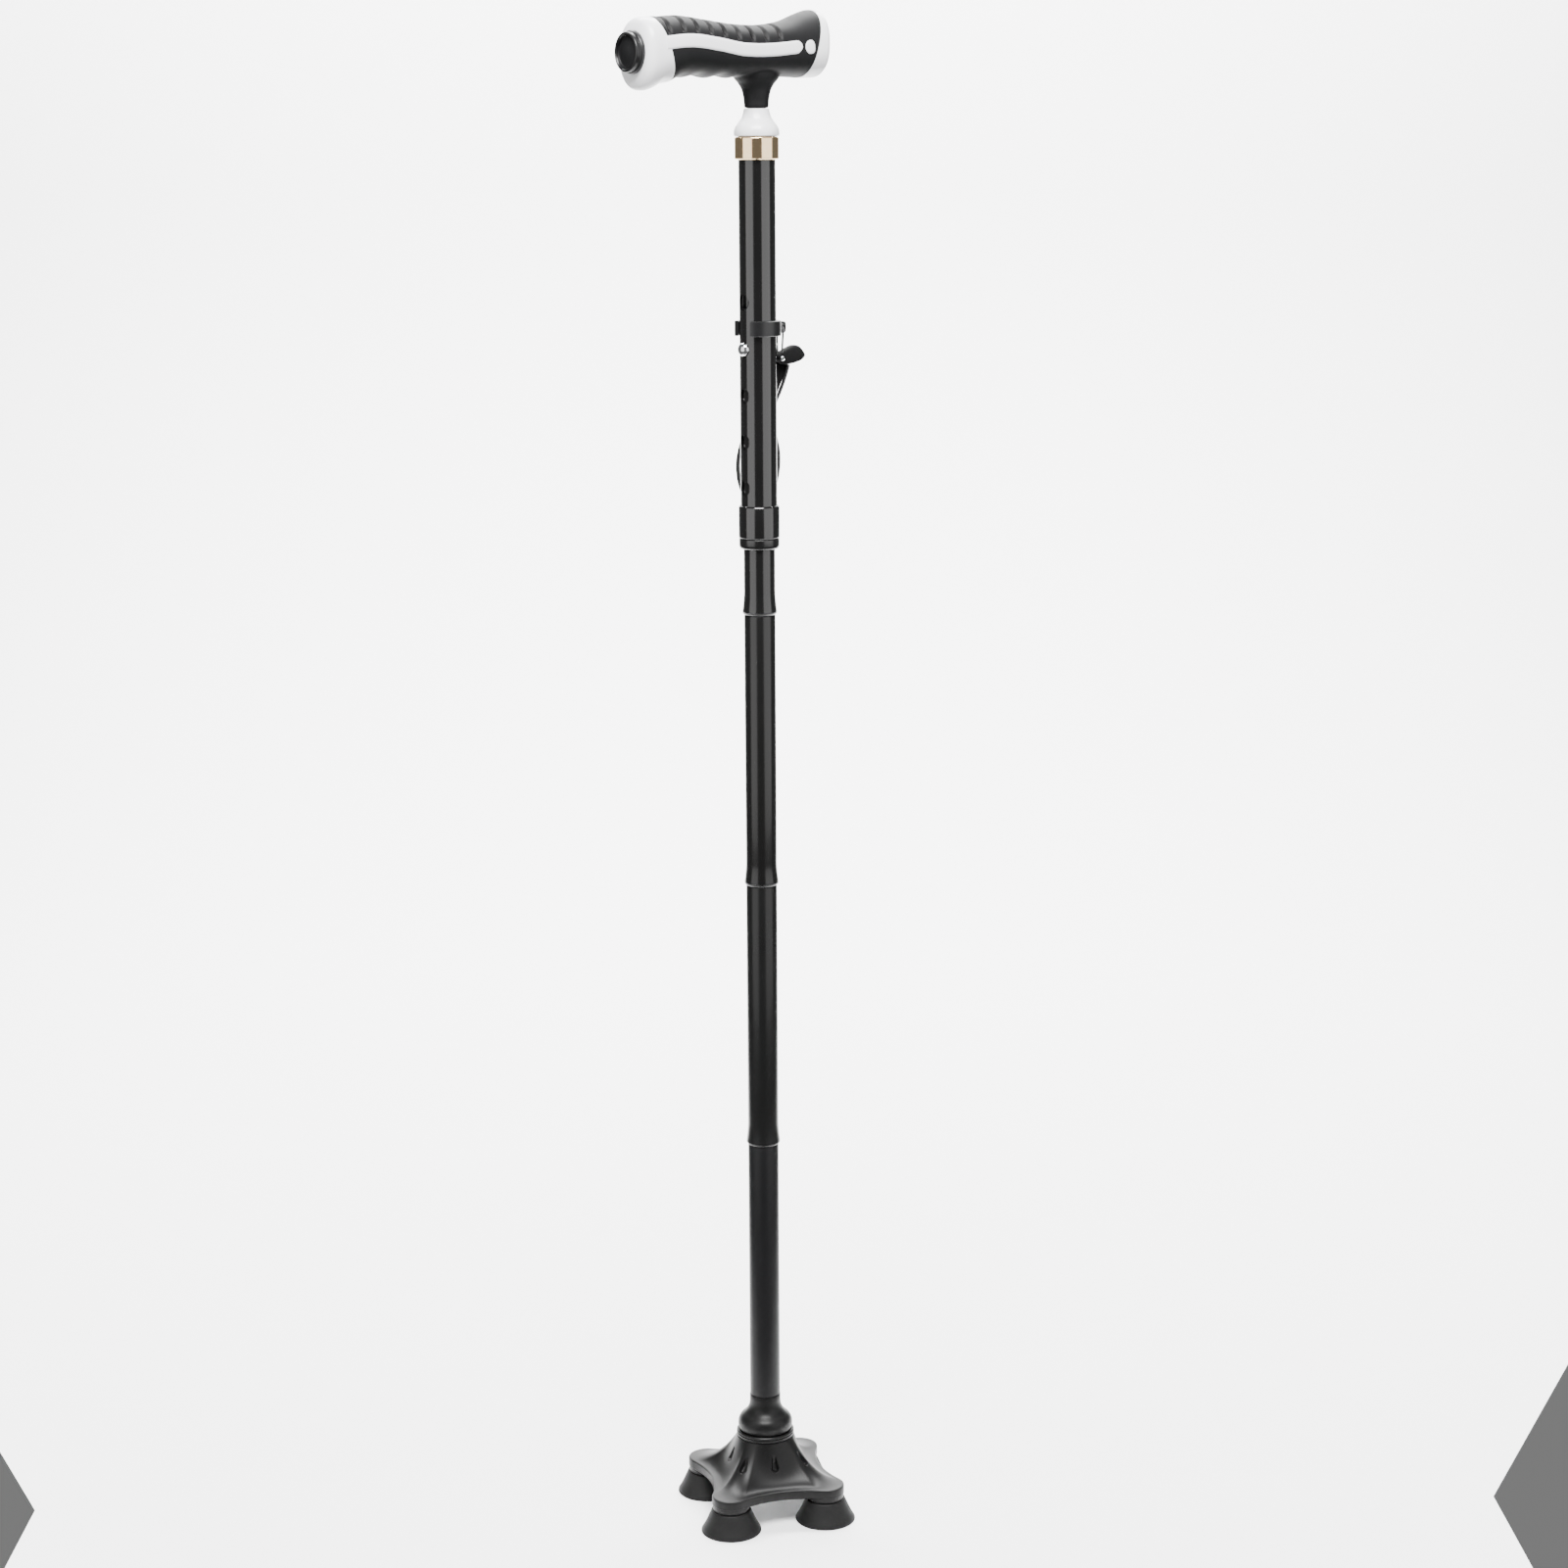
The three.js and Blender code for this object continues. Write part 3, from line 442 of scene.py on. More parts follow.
braid = braided_cord("black_polyester_braid", 0.9, 1.0)
stretched_braid = braided_cord("stretched_polyester_braid", 0.9, 8.0)
for number in range(4):
    low, high = [corner[2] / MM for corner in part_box(f"shock_cord_{number + 1}")]
    straight = [(SHOCK_R, low), (SHOCK_R, high)]
    if number == 0:
        straight = [(SHOCK_R, low), (SHOCK_R, high - 3.4), (3.6, high - 2.8), (4.1, high - 1.6),
                    (3.2, high - 0.3), (1.2, high)]
    if number == 3:
        straight = [(1.2, low), (3.2, low + 0.3), (4.1, low + 1.6), (3.6, low + 2.8),
                    (SHOCK_R, low + 3.4), (SHOCK_R, high)]
    length = cord_tube(f"shock_cord_length_{number + 1}", straight, braid, 4)
    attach(length, section_bodies[number])
    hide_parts(f"shock_cord_{number + 1}")
for number, plane in enumerate(joint_planes):
    bend = cord_tube(f"shock_cord_bend_{number + 1}", [(SHOCK_R, plane - 0.4), (SHOCK_R, plane + 5.6)],
                     stretched_braid, 0.15)
    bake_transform(bend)
    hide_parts(f"cord_bridge_{number + 1}")

# ---- Twist lock --------------------------------------------------------------------------
# Gloss black nut turned from aluminium, threaded on the upper tube, over a split nylon collet
# whose tapered lip shows below it.
nut_low, nut_high = [corner[2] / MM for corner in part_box("lock_nut")]
NUT_R = 12.4
nut = turned("lock_nut_turning", [
    (OUTER_R + 0.3, nut_low), (NUT_R - 0.4, nut_low), (NUT_R, nut_low + 0.5),
    (NUT_R, nut_high - 1.2), (NUT_R - 0.25, nut_high - 0.5), (NUT_R - 0.8, nut_high),
    (OUTER_R + 0.3, nut_high)], upper_black, bevel=0.12)
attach(nut, "lock_nut")
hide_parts("lock_nut")
collet_low, collet_high = [corner[2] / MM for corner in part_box("collet")]
lip_black = moulded_nylon("gloss_black_moulded_nylon", "#0c0c0c", 0.22, 0.3)
collet = turned("collet_lip", [
    (LOWER_R + 0.15, collet_low), (10.8, collet_low), (11.5, collet_low + 0.4),
    (12, collet_low + 1.2), (12.2, collet_low + 2.3), (12.2, collet_low + 6.1),
    (11.6, collet_low + 6.3), (10.95, collet_low + 6.3), (10.95, collet_high),
    (LOWER_R + 0.15, collet_high)], lip_black, bevel=0.12)
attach(collet, "handle")
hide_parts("collet")

# ---- Ferrule and neck --------------------------------------------------------------------
# Spun brass ring, polished and gilt, closing the top of the tube; above it a white ABS collar
# that narrows to the grip's neck.
gilt, gilt_tree, gilt_shader = new_material("polished_gilt_brass", Metallic=1.0)
polish = add_node(gilt_tree, "ShaderNodeTexNoise", {"Scale": 0.6, "Detail": 3.0},
                  {"Vector": place(gilt_tree)})
rough_between(gilt_tree, gilt_shader, polish.outputs["Fac"], 0.06, 0.16)
tint_between(gilt_tree, gilt_shader, polish.outputs["Fac"], linear("#f5dcb4"), linear("#ecca9c"))
ring_low, ring_high = [corner[2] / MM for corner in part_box("ferrule")]
FERRULE_R = 13.2
ferrule = turned("ferrule_ring", [
    (OUTER_R + 0.3, ring_low), (FERRULE_R - 0.7, ring_low), (FERRULE_R, ring_low + 0.7),
    (FERRULE_R, ring_high - 0.6), (FERRULE_R - 0.5, ring_high), (OUTER_R + 0.3, ring_high)],
    gilt, bevel=0.15)
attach(ferrule, "handle")
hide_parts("ferrule")


def moulded_abs(name, colour, roughness):
    """Polished-tool ABS: clean gloss with very slight unevenness in tone and shine."""
    material, tree, shader = new_material(name, IOR=1.54, Coat_Weight=0.15, Coat_Roughness=0.1)
    spot = place(tree)
    cloud = add_node(tree, "ShaderNodeTexNoise", {"Scale": 0.06, "Detail": 4.0}, {"Vector": spot})
    tint_between(tree, shader, cloud.outputs["Fac"], linear(colour), scaled(colour, 0.96))
    rough_between(tree, shader, cloud.outputs["Fac"], roughness, roughness + 0.1)
    peel = add_node(tree, "ShaderNodeTexNoise", {"Scale": 0.7, "Detail": 1.0}, {"Vector": spot})
    add_relief(tree, shader, peel.outputs["Fac"], 0.08, 0.00003)
    return material


white_abs = moulded_abs("polished_white_abs", "#ececee", 0.25)
collar_low, collar_high = [corner[2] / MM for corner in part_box("neck_collar")]
neck_collar = turned("neck_collar_moulding", [
    (OUTER_R + 0.3, collar_low), (12.9, collar_low), (13.35, collar_low + 0.5),
    (13.55, collar_low + 1.6), (13.45, collar_low + 3.2), (13, collar_low + 4.8),
    (12.1, collar_low + 6.4), (11, collar_low + 7.8), (9.9, collar_low + 9.2),
    (8.9, collar_low + 10.8), (8.2, collar_low + 12.5), (7.7, collar_low + 14.2),
    (7.4, collar_high), (5.9, collar_high), (5.9, collar_low + 7), (OUTER_R + 0.3, collar_low + 4)],
    white_abs, bevel=0.1)
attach(neck_collar, "handle")
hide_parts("neck_collar")


# ---- Handle ------------------------------------------------------------------------------
# A white ABS core carries a black soft grip moulded over it. The core shows as the front cap
# and as the S-shaped strip along each side; a thin white cap closes the flared rear end.
def smooth_through(points):
    """A smooth function through [x, value] points, with slopes taken from the neighbours."""
    xs = [x for x, _ in points]
    ys = [y for _, y in points]
    slopes = [(ys[min(i + 1, len(ys) - 1)] - ys[max(i - 1, 0)])
              / (xs[min(i + 1, len(xs) - 1)] - xs[max(i - 1, 0)]) for i in range(len(xs))]

    def value(x):
        x = min(max(x, xs[0]), xs[-1])
        i = max(k for k in range(len(xs) - 1) if xs[k] <= x)
        span = xs[i + 1] - xs[i]
        t = (x - xs[i]) / span
        return ((1 + 2 * t) * (1 - t) ** 2 * ys[i] + t * (1 - t) ** 2 * span * slopes[i]
                + t * t * (3 - 2 * t) * ys[i + 1] + t * t * (t - 1) * span * slopes[i + 1])

    return value


handle_top = smooth_through([(-87.3, 921), (-86, 925.6), (-83.5, 928.2), (-79, 929), (-70, 929.2),
                             (-59, 930), (-39, 928), (-20, 926), (0, 925.8), (18, 928.4), (31, 933),
                             (38, 935), (41, 934.4), (43, 930)])
handle_bottom = smooth_through([(-87.3, 893), (-86, 889.6), (-83.5, 887.9), (-79, 888.6), (-73, 891.4),
                                (-66, 892.6), (-55, 896), (-40, 895.9), (-20, 896), (10, 896.4),
                                (28, 896), (38, 896), (41, 896.8), (43, 901)])
handle_half = smooth_through([(-87.3, 12.8), (-86, 15.4), (-83.5, 16.9), (-78, 17.1), (-55, 16.8),
                              (-30, 16), (5, 16), (25, 17), (38, 18.2), (41, 17.6), (43, 14.4)])
SQUARENESS = 0.84


def handle_point(x, turn, grow=0.0):
    """A point of the handle's skin at a station along it; turn 0 is +Y, a quarter turn is up."""
    half, low, high = handle_half(x) + grow, handle_bottom(x) - grow, handle_top(x) + grow
    c, s = math.cos(turn), math.sin(turn)
    return at(x, half * math.copysign(abs(c) ** SQUARENESS, c),
              (low + high) / 2 + (high - low) / 2 * math.copysign(abs(s) ** SQUARENESS, s))


def loft_faces(rings, count):
    """Quads between rings of count points each, with a cap on the first and on the last."""
    quads = [(i * count + k, i * count + (k + 1) % count, (i + 1) * count + (k + 1) % count,
              (i + 1) * count + k) for i in range(rings - 1) for k in range(count)]
    return [*quads, tuple(range(count)), tuple((rings - 1) * count + k for k in range(count))]


def handle_loft(name, start, end, steps, grow, material, sides=112):
    """The handle's skin between two stations, closed at both ends."""
    rings = [[handle_point(start + (end - start) * i / steps, 2 * math.pi * k / sides, grow)
              for k in range(sides)] for i in range(steps + 1)]
    verts = [v for ring in rings for v in ring]
    return mesh_piece(name, verts, loft_faces(steps + 1, sides), material)


def keep_side(piece, point, normal):
    """Cuts a closed piece by a plane, keeps the side that the normal points away from, and caps it."""
    build = bmesh.new()
    build.from_mesh(piece.data)
    cut = bmesh.ops.bisect_plane(build, geom=[*build.verts, *build.edges, *build.faces],
                                 plane_co=point, plane_no=normal, clear_outer=True)
    rim = [e for e in cut["geom_cut"] if isinstance(e, bmesh.types.BMEdge)]
    bmesh.ops.holes_fill(build, edges=rim, sides=0)
    bmesh.ops.recalc_face_normals(build, faces=build.faces)
    build.to_mesh(piece.data)
    build.free()
    return piece


FRONT_SEAM = [(-66, 891), (-78.5, 928.5)]  # x, z at the bottom and top of the slanting seam
REAR_SEAM = [(29, 896), (37.5, 935)]


def seam_plane(seam, shift, front):
    """Point and forward or rearward normal of the plane through a seam's two ends."""
    (x0, z0), (x1, z1) = seam
    normal = Vector((z1 - z0, 0, x0 - x1)).normalized() * (-1 if front else 1)
    return at(x0 + shift, 0, z0), normal


def soft_rubber(name, colour, grain_mm):
    """Thermoplastic rubber with a fine leather-like moulded grain that scatters the highlights, and painted
    shade darkening its base colour in the grip's grooves.
    """
    material, tree, shader = new_material(name, IOR=1.5, Specular_IOR_Level=0.18)
    spot = place(tree)
    cells = add_node(tree, "ShaderNodeTexVoronoi", {"Scale": 1 / grain_mm, "feature": "SMOOTH_F1"},
                     {"Vector": spot})
    cloud = add_node(tree, "ShaderNodeTexNoise", {"Scale": 0.05, "Detail": 4.0}, {"Vector": spot})
    mix = add_node(tree, "ShaderNodeMix", {"data_type": "RGBA"}, {0: cloud.outputs["Fac"]})
    mix.inputs[6].default_value = linear(colour)
    mix.inputs[7].default_value = [c * 1.4 for c in linear(colour)[:3]] + [1]
    # Painted shade: the base colour is scaled down to a tenth where the grip's stored groove depth is full,
    # so the grooves look dark.
    painted_groove_shade = add_node(tree, "ShaderNodeAttribute", {"attribute_name": "painted_groove_shade"})
    shade = add_node(tree, "ShaderNodeMapRange", {"To Min": 1.0, "To Max": 0.1},
                     {"Value": painted_groove_shade.outputs["Fac"]})
    groove_shaded_colour = add_node(tree, "ShaderNodeVectorMath", {"operation": "SCALE"},
                    {0: mix.outputs[2], "Scale": shade.outputs["Result"]})
    tree.links.new(groove_shaded_colour.outputs["Vector"], shader.inputs["Base Color"])
    rough_between(tree, shader, cloud.outputs["Fac"], 0.5, 0.62)
    add_relief(tree, shader, cells.outputs["Distance"], 0.25, 0.00006)
    return material


grip_rubber = soft_rubber("moulded_soft_grip_rubber", "#0c0c0d", 0.5)
grip = handle_loft("grip_skin", -86, 42, 128, 0, grip_rubber)
neck_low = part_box("grip_cover")[0][2] / MM
neck_outline = [(0, neck_low), (7, neck_low), (7.25, neck_low + 0.4), (7.35, neck_low + 4),
                (7.9, neck_low + 7.6), (9.1, neck_low + 11), (11.2, neck_low + 14),
                (14, neck_low + 16.6), (15.5, neck_low + 19), (15, neck_low + 26), (0, neck_low + 26)]
neck = turned("neck_skin", neck_outline, grip_rubber, ring=False)
for vertex in neck.data.vertices:
    rise = min(1, max(0, (vertex.co.z / MM - neck_low - 8) / 10))
    vertex.co.y = AXIS_Y + (vertex.co.y - AXIS_Y) * (1 - 0.27 * rise)
union = grip.modifiers.new("neck", "BOOLEAN")
union.operation = "UNION"
union.solver = "EXACT"
union.object = neck
bpy.context.view_layer.update()
apply_modifiers(grip)
bpy.data.objects.remove(neck)
remesh = grip.modifiers.new("remesh", "REMESH")
remesh.mode = "VOXEL"
remesh.voxel_size = 0.6 * MM
relax = grip.modifiers.new("relax", "SMOOTH")
relax.factor = 0.5
relax.iterations = 16
apply_modifiers(grip)

GROOVE_FIRST = -72.4
GROOVE_PITCH = 9.87
GROOVE_COUNT = 9
strip_centre = smooth_through([(-80, 913.4), (-58, 915.5), (-39, 913.9), (-19.5, 911.1),
                               (0, 911.2), (22, 913.3)])
STRIP_HALF = 3.8
STRIP_END = 21.3
# The groove depth is also stored on the grip's mesh, and the rubber's shader uses it to paint shade into the
# grooves.
painted_groove_shade = grip.data.attributes.new("painted_groove_shade", "FLOAT", "POINT")
for vertex in grip.data.vertices:
    x, y, z = ((vertex.co.x - AXIS_X) / MM, (vertex.co.y - AXIS_Y) / MM, vertex.co.z / MM)
    above = z - strip_centre(x) - STRIP_HALF
    if above > 0.5:
        nearest = round((x - GROOVE_FIRST) / GROOVE_PITCH)
        if 0 <= nearest < GROOVE_COUNT:
            off = x - (GROOVE_FIRST + nearest * GROOVE_PITCH)
            fade = min(1, (above - 0.5) / 3.5)
            width = 1.3 if off < 0 else 1.9
            deep = fade * min(1, 1.7 * max(0, 1 - abs(off) / width))
            inward = Vector((0, -y, 912 - z)).normalized()
            vertex.co += inward * 1.5 * deep * MM
            painted_groove_shade.data[vertex.index].value = deep
    if z < 901 and -66 < x < -18:
        swell = 0.8 * math.sin((x + 66) / 48 * 3 * 2 * math.pi) * min(1, (901 - z) / 4)
        vertex.co.z += swell * MM * max(0, 1 - abs(y) / 15)
keep_side(grip, *seam_plane(FRONT_SEAM, 0.15, True))
keep_side(grip, *seam_plane(REAR_SEAM, -0.15, False))
finish_mesh(grip, grip_rubber, 50)
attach(grip, "handle")
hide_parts("grip_cover")

front_cap = handle_loft("front_cap_moulding", -87.3, -60, 70, 0.12, white_abs)
point, normal = seam_plane(FRONT_SEAM, 0, True)
keep_side(front_cap, point, -normal)
finish_mesh(front_cap, white_abs, 50, 0.35)
rear_cap = handle_loft("rear_cap_moulding", 24, 43, 50, 0.12, white_abs)
point, normal = seam_plane(REAR_SEAM, 0, False)
keep_side(rear_cap, point, -normal)
finish_mesh(rear_cap, white_abs, 50, 0.35)


def strip_width(x):
    """Half height of the strip, rounded off at its rear end."""
    past = (x - (STRIP_END - STRIP_HALF)) / STRIP_HALF
    return STRIP_HALF * (math.sqrt(max(0.0, 1 - past * past)) if past > 0 else 1)


def side_strip(name, side):
    """The core's strip on one side: a thin S-shaped inlay, a little proud, with rounded edges."""
    along, across = 150, 12
    (bottom_x, _), (top_x, _) = FRONT_SEAM
    front = (bottom_x + (top_x - bottom_x) * 0.6) - 2
    verts, faces = [], []
    for i in range(along + 1):
        t = i / along
        x = front + (STRIP_END - 0.02 - front) * (1 - (1 - t) ** 1.5)
        for layer in (0, 1):
            for k in range(across + 1):
                v = (2 * k / across - 1)
                z = strip_centre(x) + strip_width(x) * v
                low, high, half = handle_bottom(x), handle_top(x), handle_half(x)
                lift = abs((z - (low + high) / 2) / ((high - low) / 2))
                depth = half * (1 - lift ** (2 / SQUARENESS)) ** (SQUARENESS / 2)
                proud = -1.6 if layer else 0.42 * (1 - abs(v) ** 8) ** 0.5 + 0.03
                verts.append(at(x, side * (depth + proud), z))
    row = across + 1
    for i in range(along):
        a, b = 2 * row * i, 2 * row * (i + 1)
        for k in range(across):
            faces += [(a + k, a + k + 1, b + k + 1, b + k),
                      (a + row + k, b + row + k, b + row + k + 1, a + row + k + 1)]
        faces += [(a, b, b + row, a + row),
                  (a + across, a + row + across, b + row + across, b + across)]
    last = 2 * row * along
    faces += [tuple([*range(0, row), *reversed(range(row, 2 * row))]),
              tuple([*range(last, last + row), *reversed(range(last + row, last + 2 * row))])]
    return mesh_piece(name, verts, faces, white_abs, 40)


side_strips = [side_strip("side_strip_left", 1), side_strip("side_strip_right", -1)]
for piece in (front_cap, *side_strips):
    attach(piece, "handle")
    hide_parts("handle_core")
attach(rear_cap, "handle")
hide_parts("rear_cap")


# ---- End button --------------------------------------------------------------------------
# Soft black push button in a stepped nylon bezel on the handle's front face, with the small
# switch board and its cells behind it, inside the core.
BUTTON_Z = 909


def turned_x(name, outline, material, centre_y, centre_z, sides=72, ring=True, bevel=0.0):
    """A turned piece about an axis along X, from [radius, distance in front of the tube] points."""
    piece = turned(name, [(r, 0) for r, _ in outline], material, sides=sides, ring=ring)
    mesh = piece.data
    mesh.clear_geometry()
    verts = []
    for k in range(sides):
        turn = 2 * math.pi * k / sides
        verts += [at(-front, centre_y + r * math.cos(turn), centre_z + r * math.sin(turn))
                  for r, front in outline]
    mesh.from_pydata([tuple(v) for v in verts], [], revolved_faces(sides, len(outline), ring))
    build = bmesh.new()
    build.from_mesh(mesh)
    bmesh.ops.remove_doubles(build, verts=build.verts, dist=1e-6)
    bmesh.ops.recalc_face_normals(build, faces=build.faces)
    build.to_mesh(mesh)
    build.free()
    return finish_mesh(piece, material, 30, bevel)


bezel = turned_x("button_bezel_ring", [
    (9.35, 82), (10.1, 82), (10.1, 87.3), (12.1, 87.3), (12.2, 87.6), (12.2, 89.2), (11.9, 89.7),
    (11.2, 90.1), (11.1, 90.5), (11.35, 90.9), (11.35, 92), (11.1, 92.5), (10.6, 92.8),
    (9.9, 92.7), (9.5, 92.2), (9.35, 91.6)], black_nylon, 0, BUTTON_Z)
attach(bezel, "handle")
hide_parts("button_bezel")
button_rubber = soft_rubber("moulded_button_rubber", "#0f0f10", 0.35)
face = [(r, 91.4 + 0.5 * math.cos(r / 8.6 * math.pi)) for r in (8.6, 7.6, 6.6, 5.4, 4, 2.6, 1.3, 0)]
end_button = turned_x("end_button_cap", [
    (0, 83.4), (2, 83.4), (2, 86), (9.05, 86), (9.1, 91.2), (9.0, 91.8), *face],
    button_rubber, 0, BUTTON_Z, ring=False)
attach(end_button, "end_button")
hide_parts("end_button")


# ---- Side button -------------------------------------------------------------------------
# Round white ABS push button let into the grip behind the strip's rear end.
SIDE_X, SIDE_Z, SIDE_R = 27.7, 913.2, 4.2
outline = [(0, -12.6), (SIDE_R, -12.6), (SIDE_R, -16.7), (SIDE_R - 0.35, -17.2),
           (SIDE_R - 1.2, -17.45), (2, -17.55), (0, -17.6)]
verts = []
for k in range(64):
    turn = 2 * math.pi * k / 64
    verts += [at(SIDE_X + r * math.cos(turn), y, SIDE_Z + r * math.sin(turn)) for r, y in outline]
side_button = mesh_piece("side_button_cap", verts, revolved_faces(64, len(outline), False),
                         white_abs)
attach(side_button, "side_button")
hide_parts("side_button")

# ---- Parts inside the handle -------------------------------------------------------------
# Green solder-masked boards, tinned cells in a stack, a gilt spring contact and the moulded
# stem that ties the handle to the tube; all are hidden once the handle is closed.


def plated_steel(name, colour, roughness):
    """Zinc-plated steel with faint cloudy variation in its shine."""
    material, tree, shader = new_material(name, Metallic=1.0)
    cloud = add_node(tree, "ShaderNodeTexNoise", {"Scale": 0.4, "Detail": 4.0},
                     {"Vector": place(tree)})
    tint_between(tree, shader, cloud.outputs["Fac"], linear(colour), scaled(colour, 0.85))
    rough_between(tree, shader, cloud.outputs["Fac"], roughness, roughness + 0.12)
    return material


zinc = plated_steel("zinc_plated_steel", "#c3c5c6", 0.26)
chrome = plated_steel("polished_chrome_plate", "#dcdddf", 0.08)
board_green = moulded_nylon("green_solder_mask", "#1c5a36", 0.35, 0.5)
acetal = moulded_nylon("natural_turned_acetal", "#dcdcd4", 0.38, 0.6)


def dress(node, material):
    """Gives a CAD node that is kept as it is its finished material."""
    piece = bpy.data.objects[node]
    piece.data.materials.clear()
    piece.data.materials.append(material)


for node in ("switch_board", "light_board"):
    dress(node, board_green)
dress("button_cells", zinc)
dress("cell_contact", gilt)
dress("handle_stem", black_nylon)

# ---- Height adjustment -------------------------------------------------------------------
# Two chromed snap buttons stand out of the tubes on a bent steel strip; the cord's top knot
# rests on a nylon plug above them.
for node in ("snap_button_front", "snap_button_rear"):
    side = -1 if node.endswith("front") else 1
    dome = [(4.3 * math.cos(math.radians(a)), 10.4 + 3.4 * math.sin(math.radians(a)))
            for a in range(0, 91, 9)]
    stud = turned_x(f"{node}_stud", [(0, 7), (4.3, 7), *dome], chrome, 0, TOP_HOLE - HOLE_PITCH,
                    sides=64, ring=False)
    if side > 0:
        for vertex in stud.data.vertices:
            vertex.co.x = 2 * AXIS_X - vertex.co.x
        stud.data.flip_normals()
    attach(stud, "snap_front" if side < 0 else "snap_rear")
    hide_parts(node)
leaf_points = [(4.7 * math.sin(math.radians(a)), 707 - 4.7 * math.cos(math.radians(a)))
               for a in range(36, 91, 9)]
leaf_points += [(4.7 + 1.6 * k / 8, 707 + 27.3 * k / 8) for k in range(1, 9)] + [(6.3, 742.3)]


def spring_strip(name, line, side, spans):
    """A strip of 0.6 mm steel along an upright (x, z) line, one box section per span across it."""
    verts, faces = [], []
    for near, far in spans:
        first = len(verts)
        for i, (x, z) in enumerate(line):
            before, after = line[max(i - 1, 0)], line[min(i + 1, len(line) - 1)]
            dx, dz = after[0] - before[0], after[1] - before[1]
            size = math.hypot(dx, dz)
            for y, face in ((near, 0.3), (far, 0.3), (far, -0.3), (near, -0.3)):
                verts.append(at(side * (x - dz / size * face), y, z + dx / size * face))
        faces += [tuple(first + v for v in face) for face in loft_faces(len(line), 4)]
    strip = mesh_piece(name, verts, faces, zinc, 40)
    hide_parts("v_spring")
    return strip


for side, body in ((-1, "snap_front"), (1, "snap_rear")):
    leaf = spring_strip(f"v_spring_leaf_{body[5:]}", leaf_points, side, [(-3.5, 3.5)])
    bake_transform(leaf)
bend_points = [(4.7 * math.sin(math.radians(a)), 707 - 4.7 * math.cos(math.radians(a)))
               for a in range(-36, 37, 9)]
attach(spring_strip("v_spring_bend", bend_points, 1, [(-3.5, -2.6), (2.6, 3.5)]), "inner_tube")
dress("top_plug", black_nylon)
dress("cord_anchor", black_nylon)

# ---- Strap clip --------------------------------------------------------------------------
# Nylon ring snapped on the upper tube with its gap toward the front, and an eyelet lug on the
# rear side that the strap's cord goes through.
CLIP_LOW, CLIP_HIGH = [corner[2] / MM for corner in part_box("strap_clip")]
LUG_X, LUG_Z = 17, 751
section = [(11.32, CLIP_LOW + 0.3), (11.7, CLIP_LOW), (13.5, CLIP_LOW), (13.9, CLIP_LOW + 0.4),
           (13.9, CLIP_HIGH - 0.4), (13.5, CLIP_HIGH), (11.7, CLIP_HIGH), (11.32, CLIP_HIGH - 0.3)]
steps = 80
gap = math.radians(33)
verts = []
for k in range(steps + 1):
    turn = math.pi + gap + (2 * math.pi - 2 * gap) * k / steps
    verts += [at(r * math.cos(turn), r * math.sin(turn), z) for r, z in section]
count = len(section)
faces = [(k * count + i, (k + 1) * count + i, (k + 1) * count + (i + 1) % count,
          k * count + (i + 1) % count) for k in range(steps) for i in range(count)]
faces += [tuple(range(count)), tuple(steps * count + i for i in range(count))]
clip = mesh_piece("strap_clip_ring", verts, faces, black_nylon)
lug_outline = []
for k in range(40):
    turn = 2 * math.pi * k / 40
    c, s = math.cos(turn), math.sin(turn)
    lug_outline.append((16.75 + 3.25 * math.copysign(abs(c) ** 0.5, c),
                        750.5 + 3.5 * math.copysign(abs(s) ** 0.5, s)))
verts, faces = [], []
for y in (-1.5, 1.5):
    verts += [at(x, y, z) for x, z in lug_outline]
    verts += [at(LUG_X + 1.65 * math.cos(2 * math.pi * k / 40), y,
                 LUG_Z + 1.65 * math.sin(2 * math.pi * k / 40)) for k in range(40)]
for k in range(40):
    j = (k + 1) % 40
    faces += [(k, j, 40 + j, 40 + k), (80 + k, 120 + k, 120 + j, 80 + j),
              (k, 80 + k, 80 + j, j), (40 + k, 40 + j, 120 + j, 120 + k)]
lug = mesh_piece("strap_clip_lug", verts, faces, black_nylon, 30, 0.2)
for piece in (clip, lug):
    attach(piece, "handle")
    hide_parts("strap_clip")

# ---- Wrist strap -------------------------------------------------------------------------
# A loop of black nylon webbing, 10 mm wide, folded and stitched into a flat tab; a thin braided
# cord ties the tab to the clip's eyelet.


def woven_webbing(name, colour, pick_mm):
    """Plain-woven webbing: ribs across the width in the UV map, drawn in millimetres."""
    material, tree, shader = new_material(name, Roughness=0.8, Specular_IOR_Level=0.2, IOR=1.46)
    where = add_node(tree, "ShaderNodeUVMap")
    ribs = []
    for direction in (0, 90):
        turn = add_node(tree, "ShaderNodeMapping", links={"Vector": where.outputs["UV"]})
        turn.inputs["Rotation"].default_value = (0, 0, math.radians(direction))
        turn.inputs["Scale"].default_value = (1 / pick_mm, 1 / pick_mm, 1)
        ribs.append(add_node(tree, "ShaderNodeTexWave", {"Scale": 0.32},
                             {"Vector": turn.outputs["Vector"]}).outputs["Fac"])
    weave = add_node(tree, "ShaderNodeMath", {"operation": "MULTIPLY"}, {0: ribs[0], 1: ribs[1]})
    tint_between(tree, shader, weave.outputs["Value"], scaled(colour, 0.5), linear(colour))
    add_relief(tree, shader, weave.outputs["Value"], 0.5, 0.00012)
    return material


webbing = woven_webbing("black_woven_nylon_webbing", "#0f0f10", 0.9)
ACROSS = Vector((0.6, 0.8, 0))
ALONG = Vector((0.8, -0.6, 0))


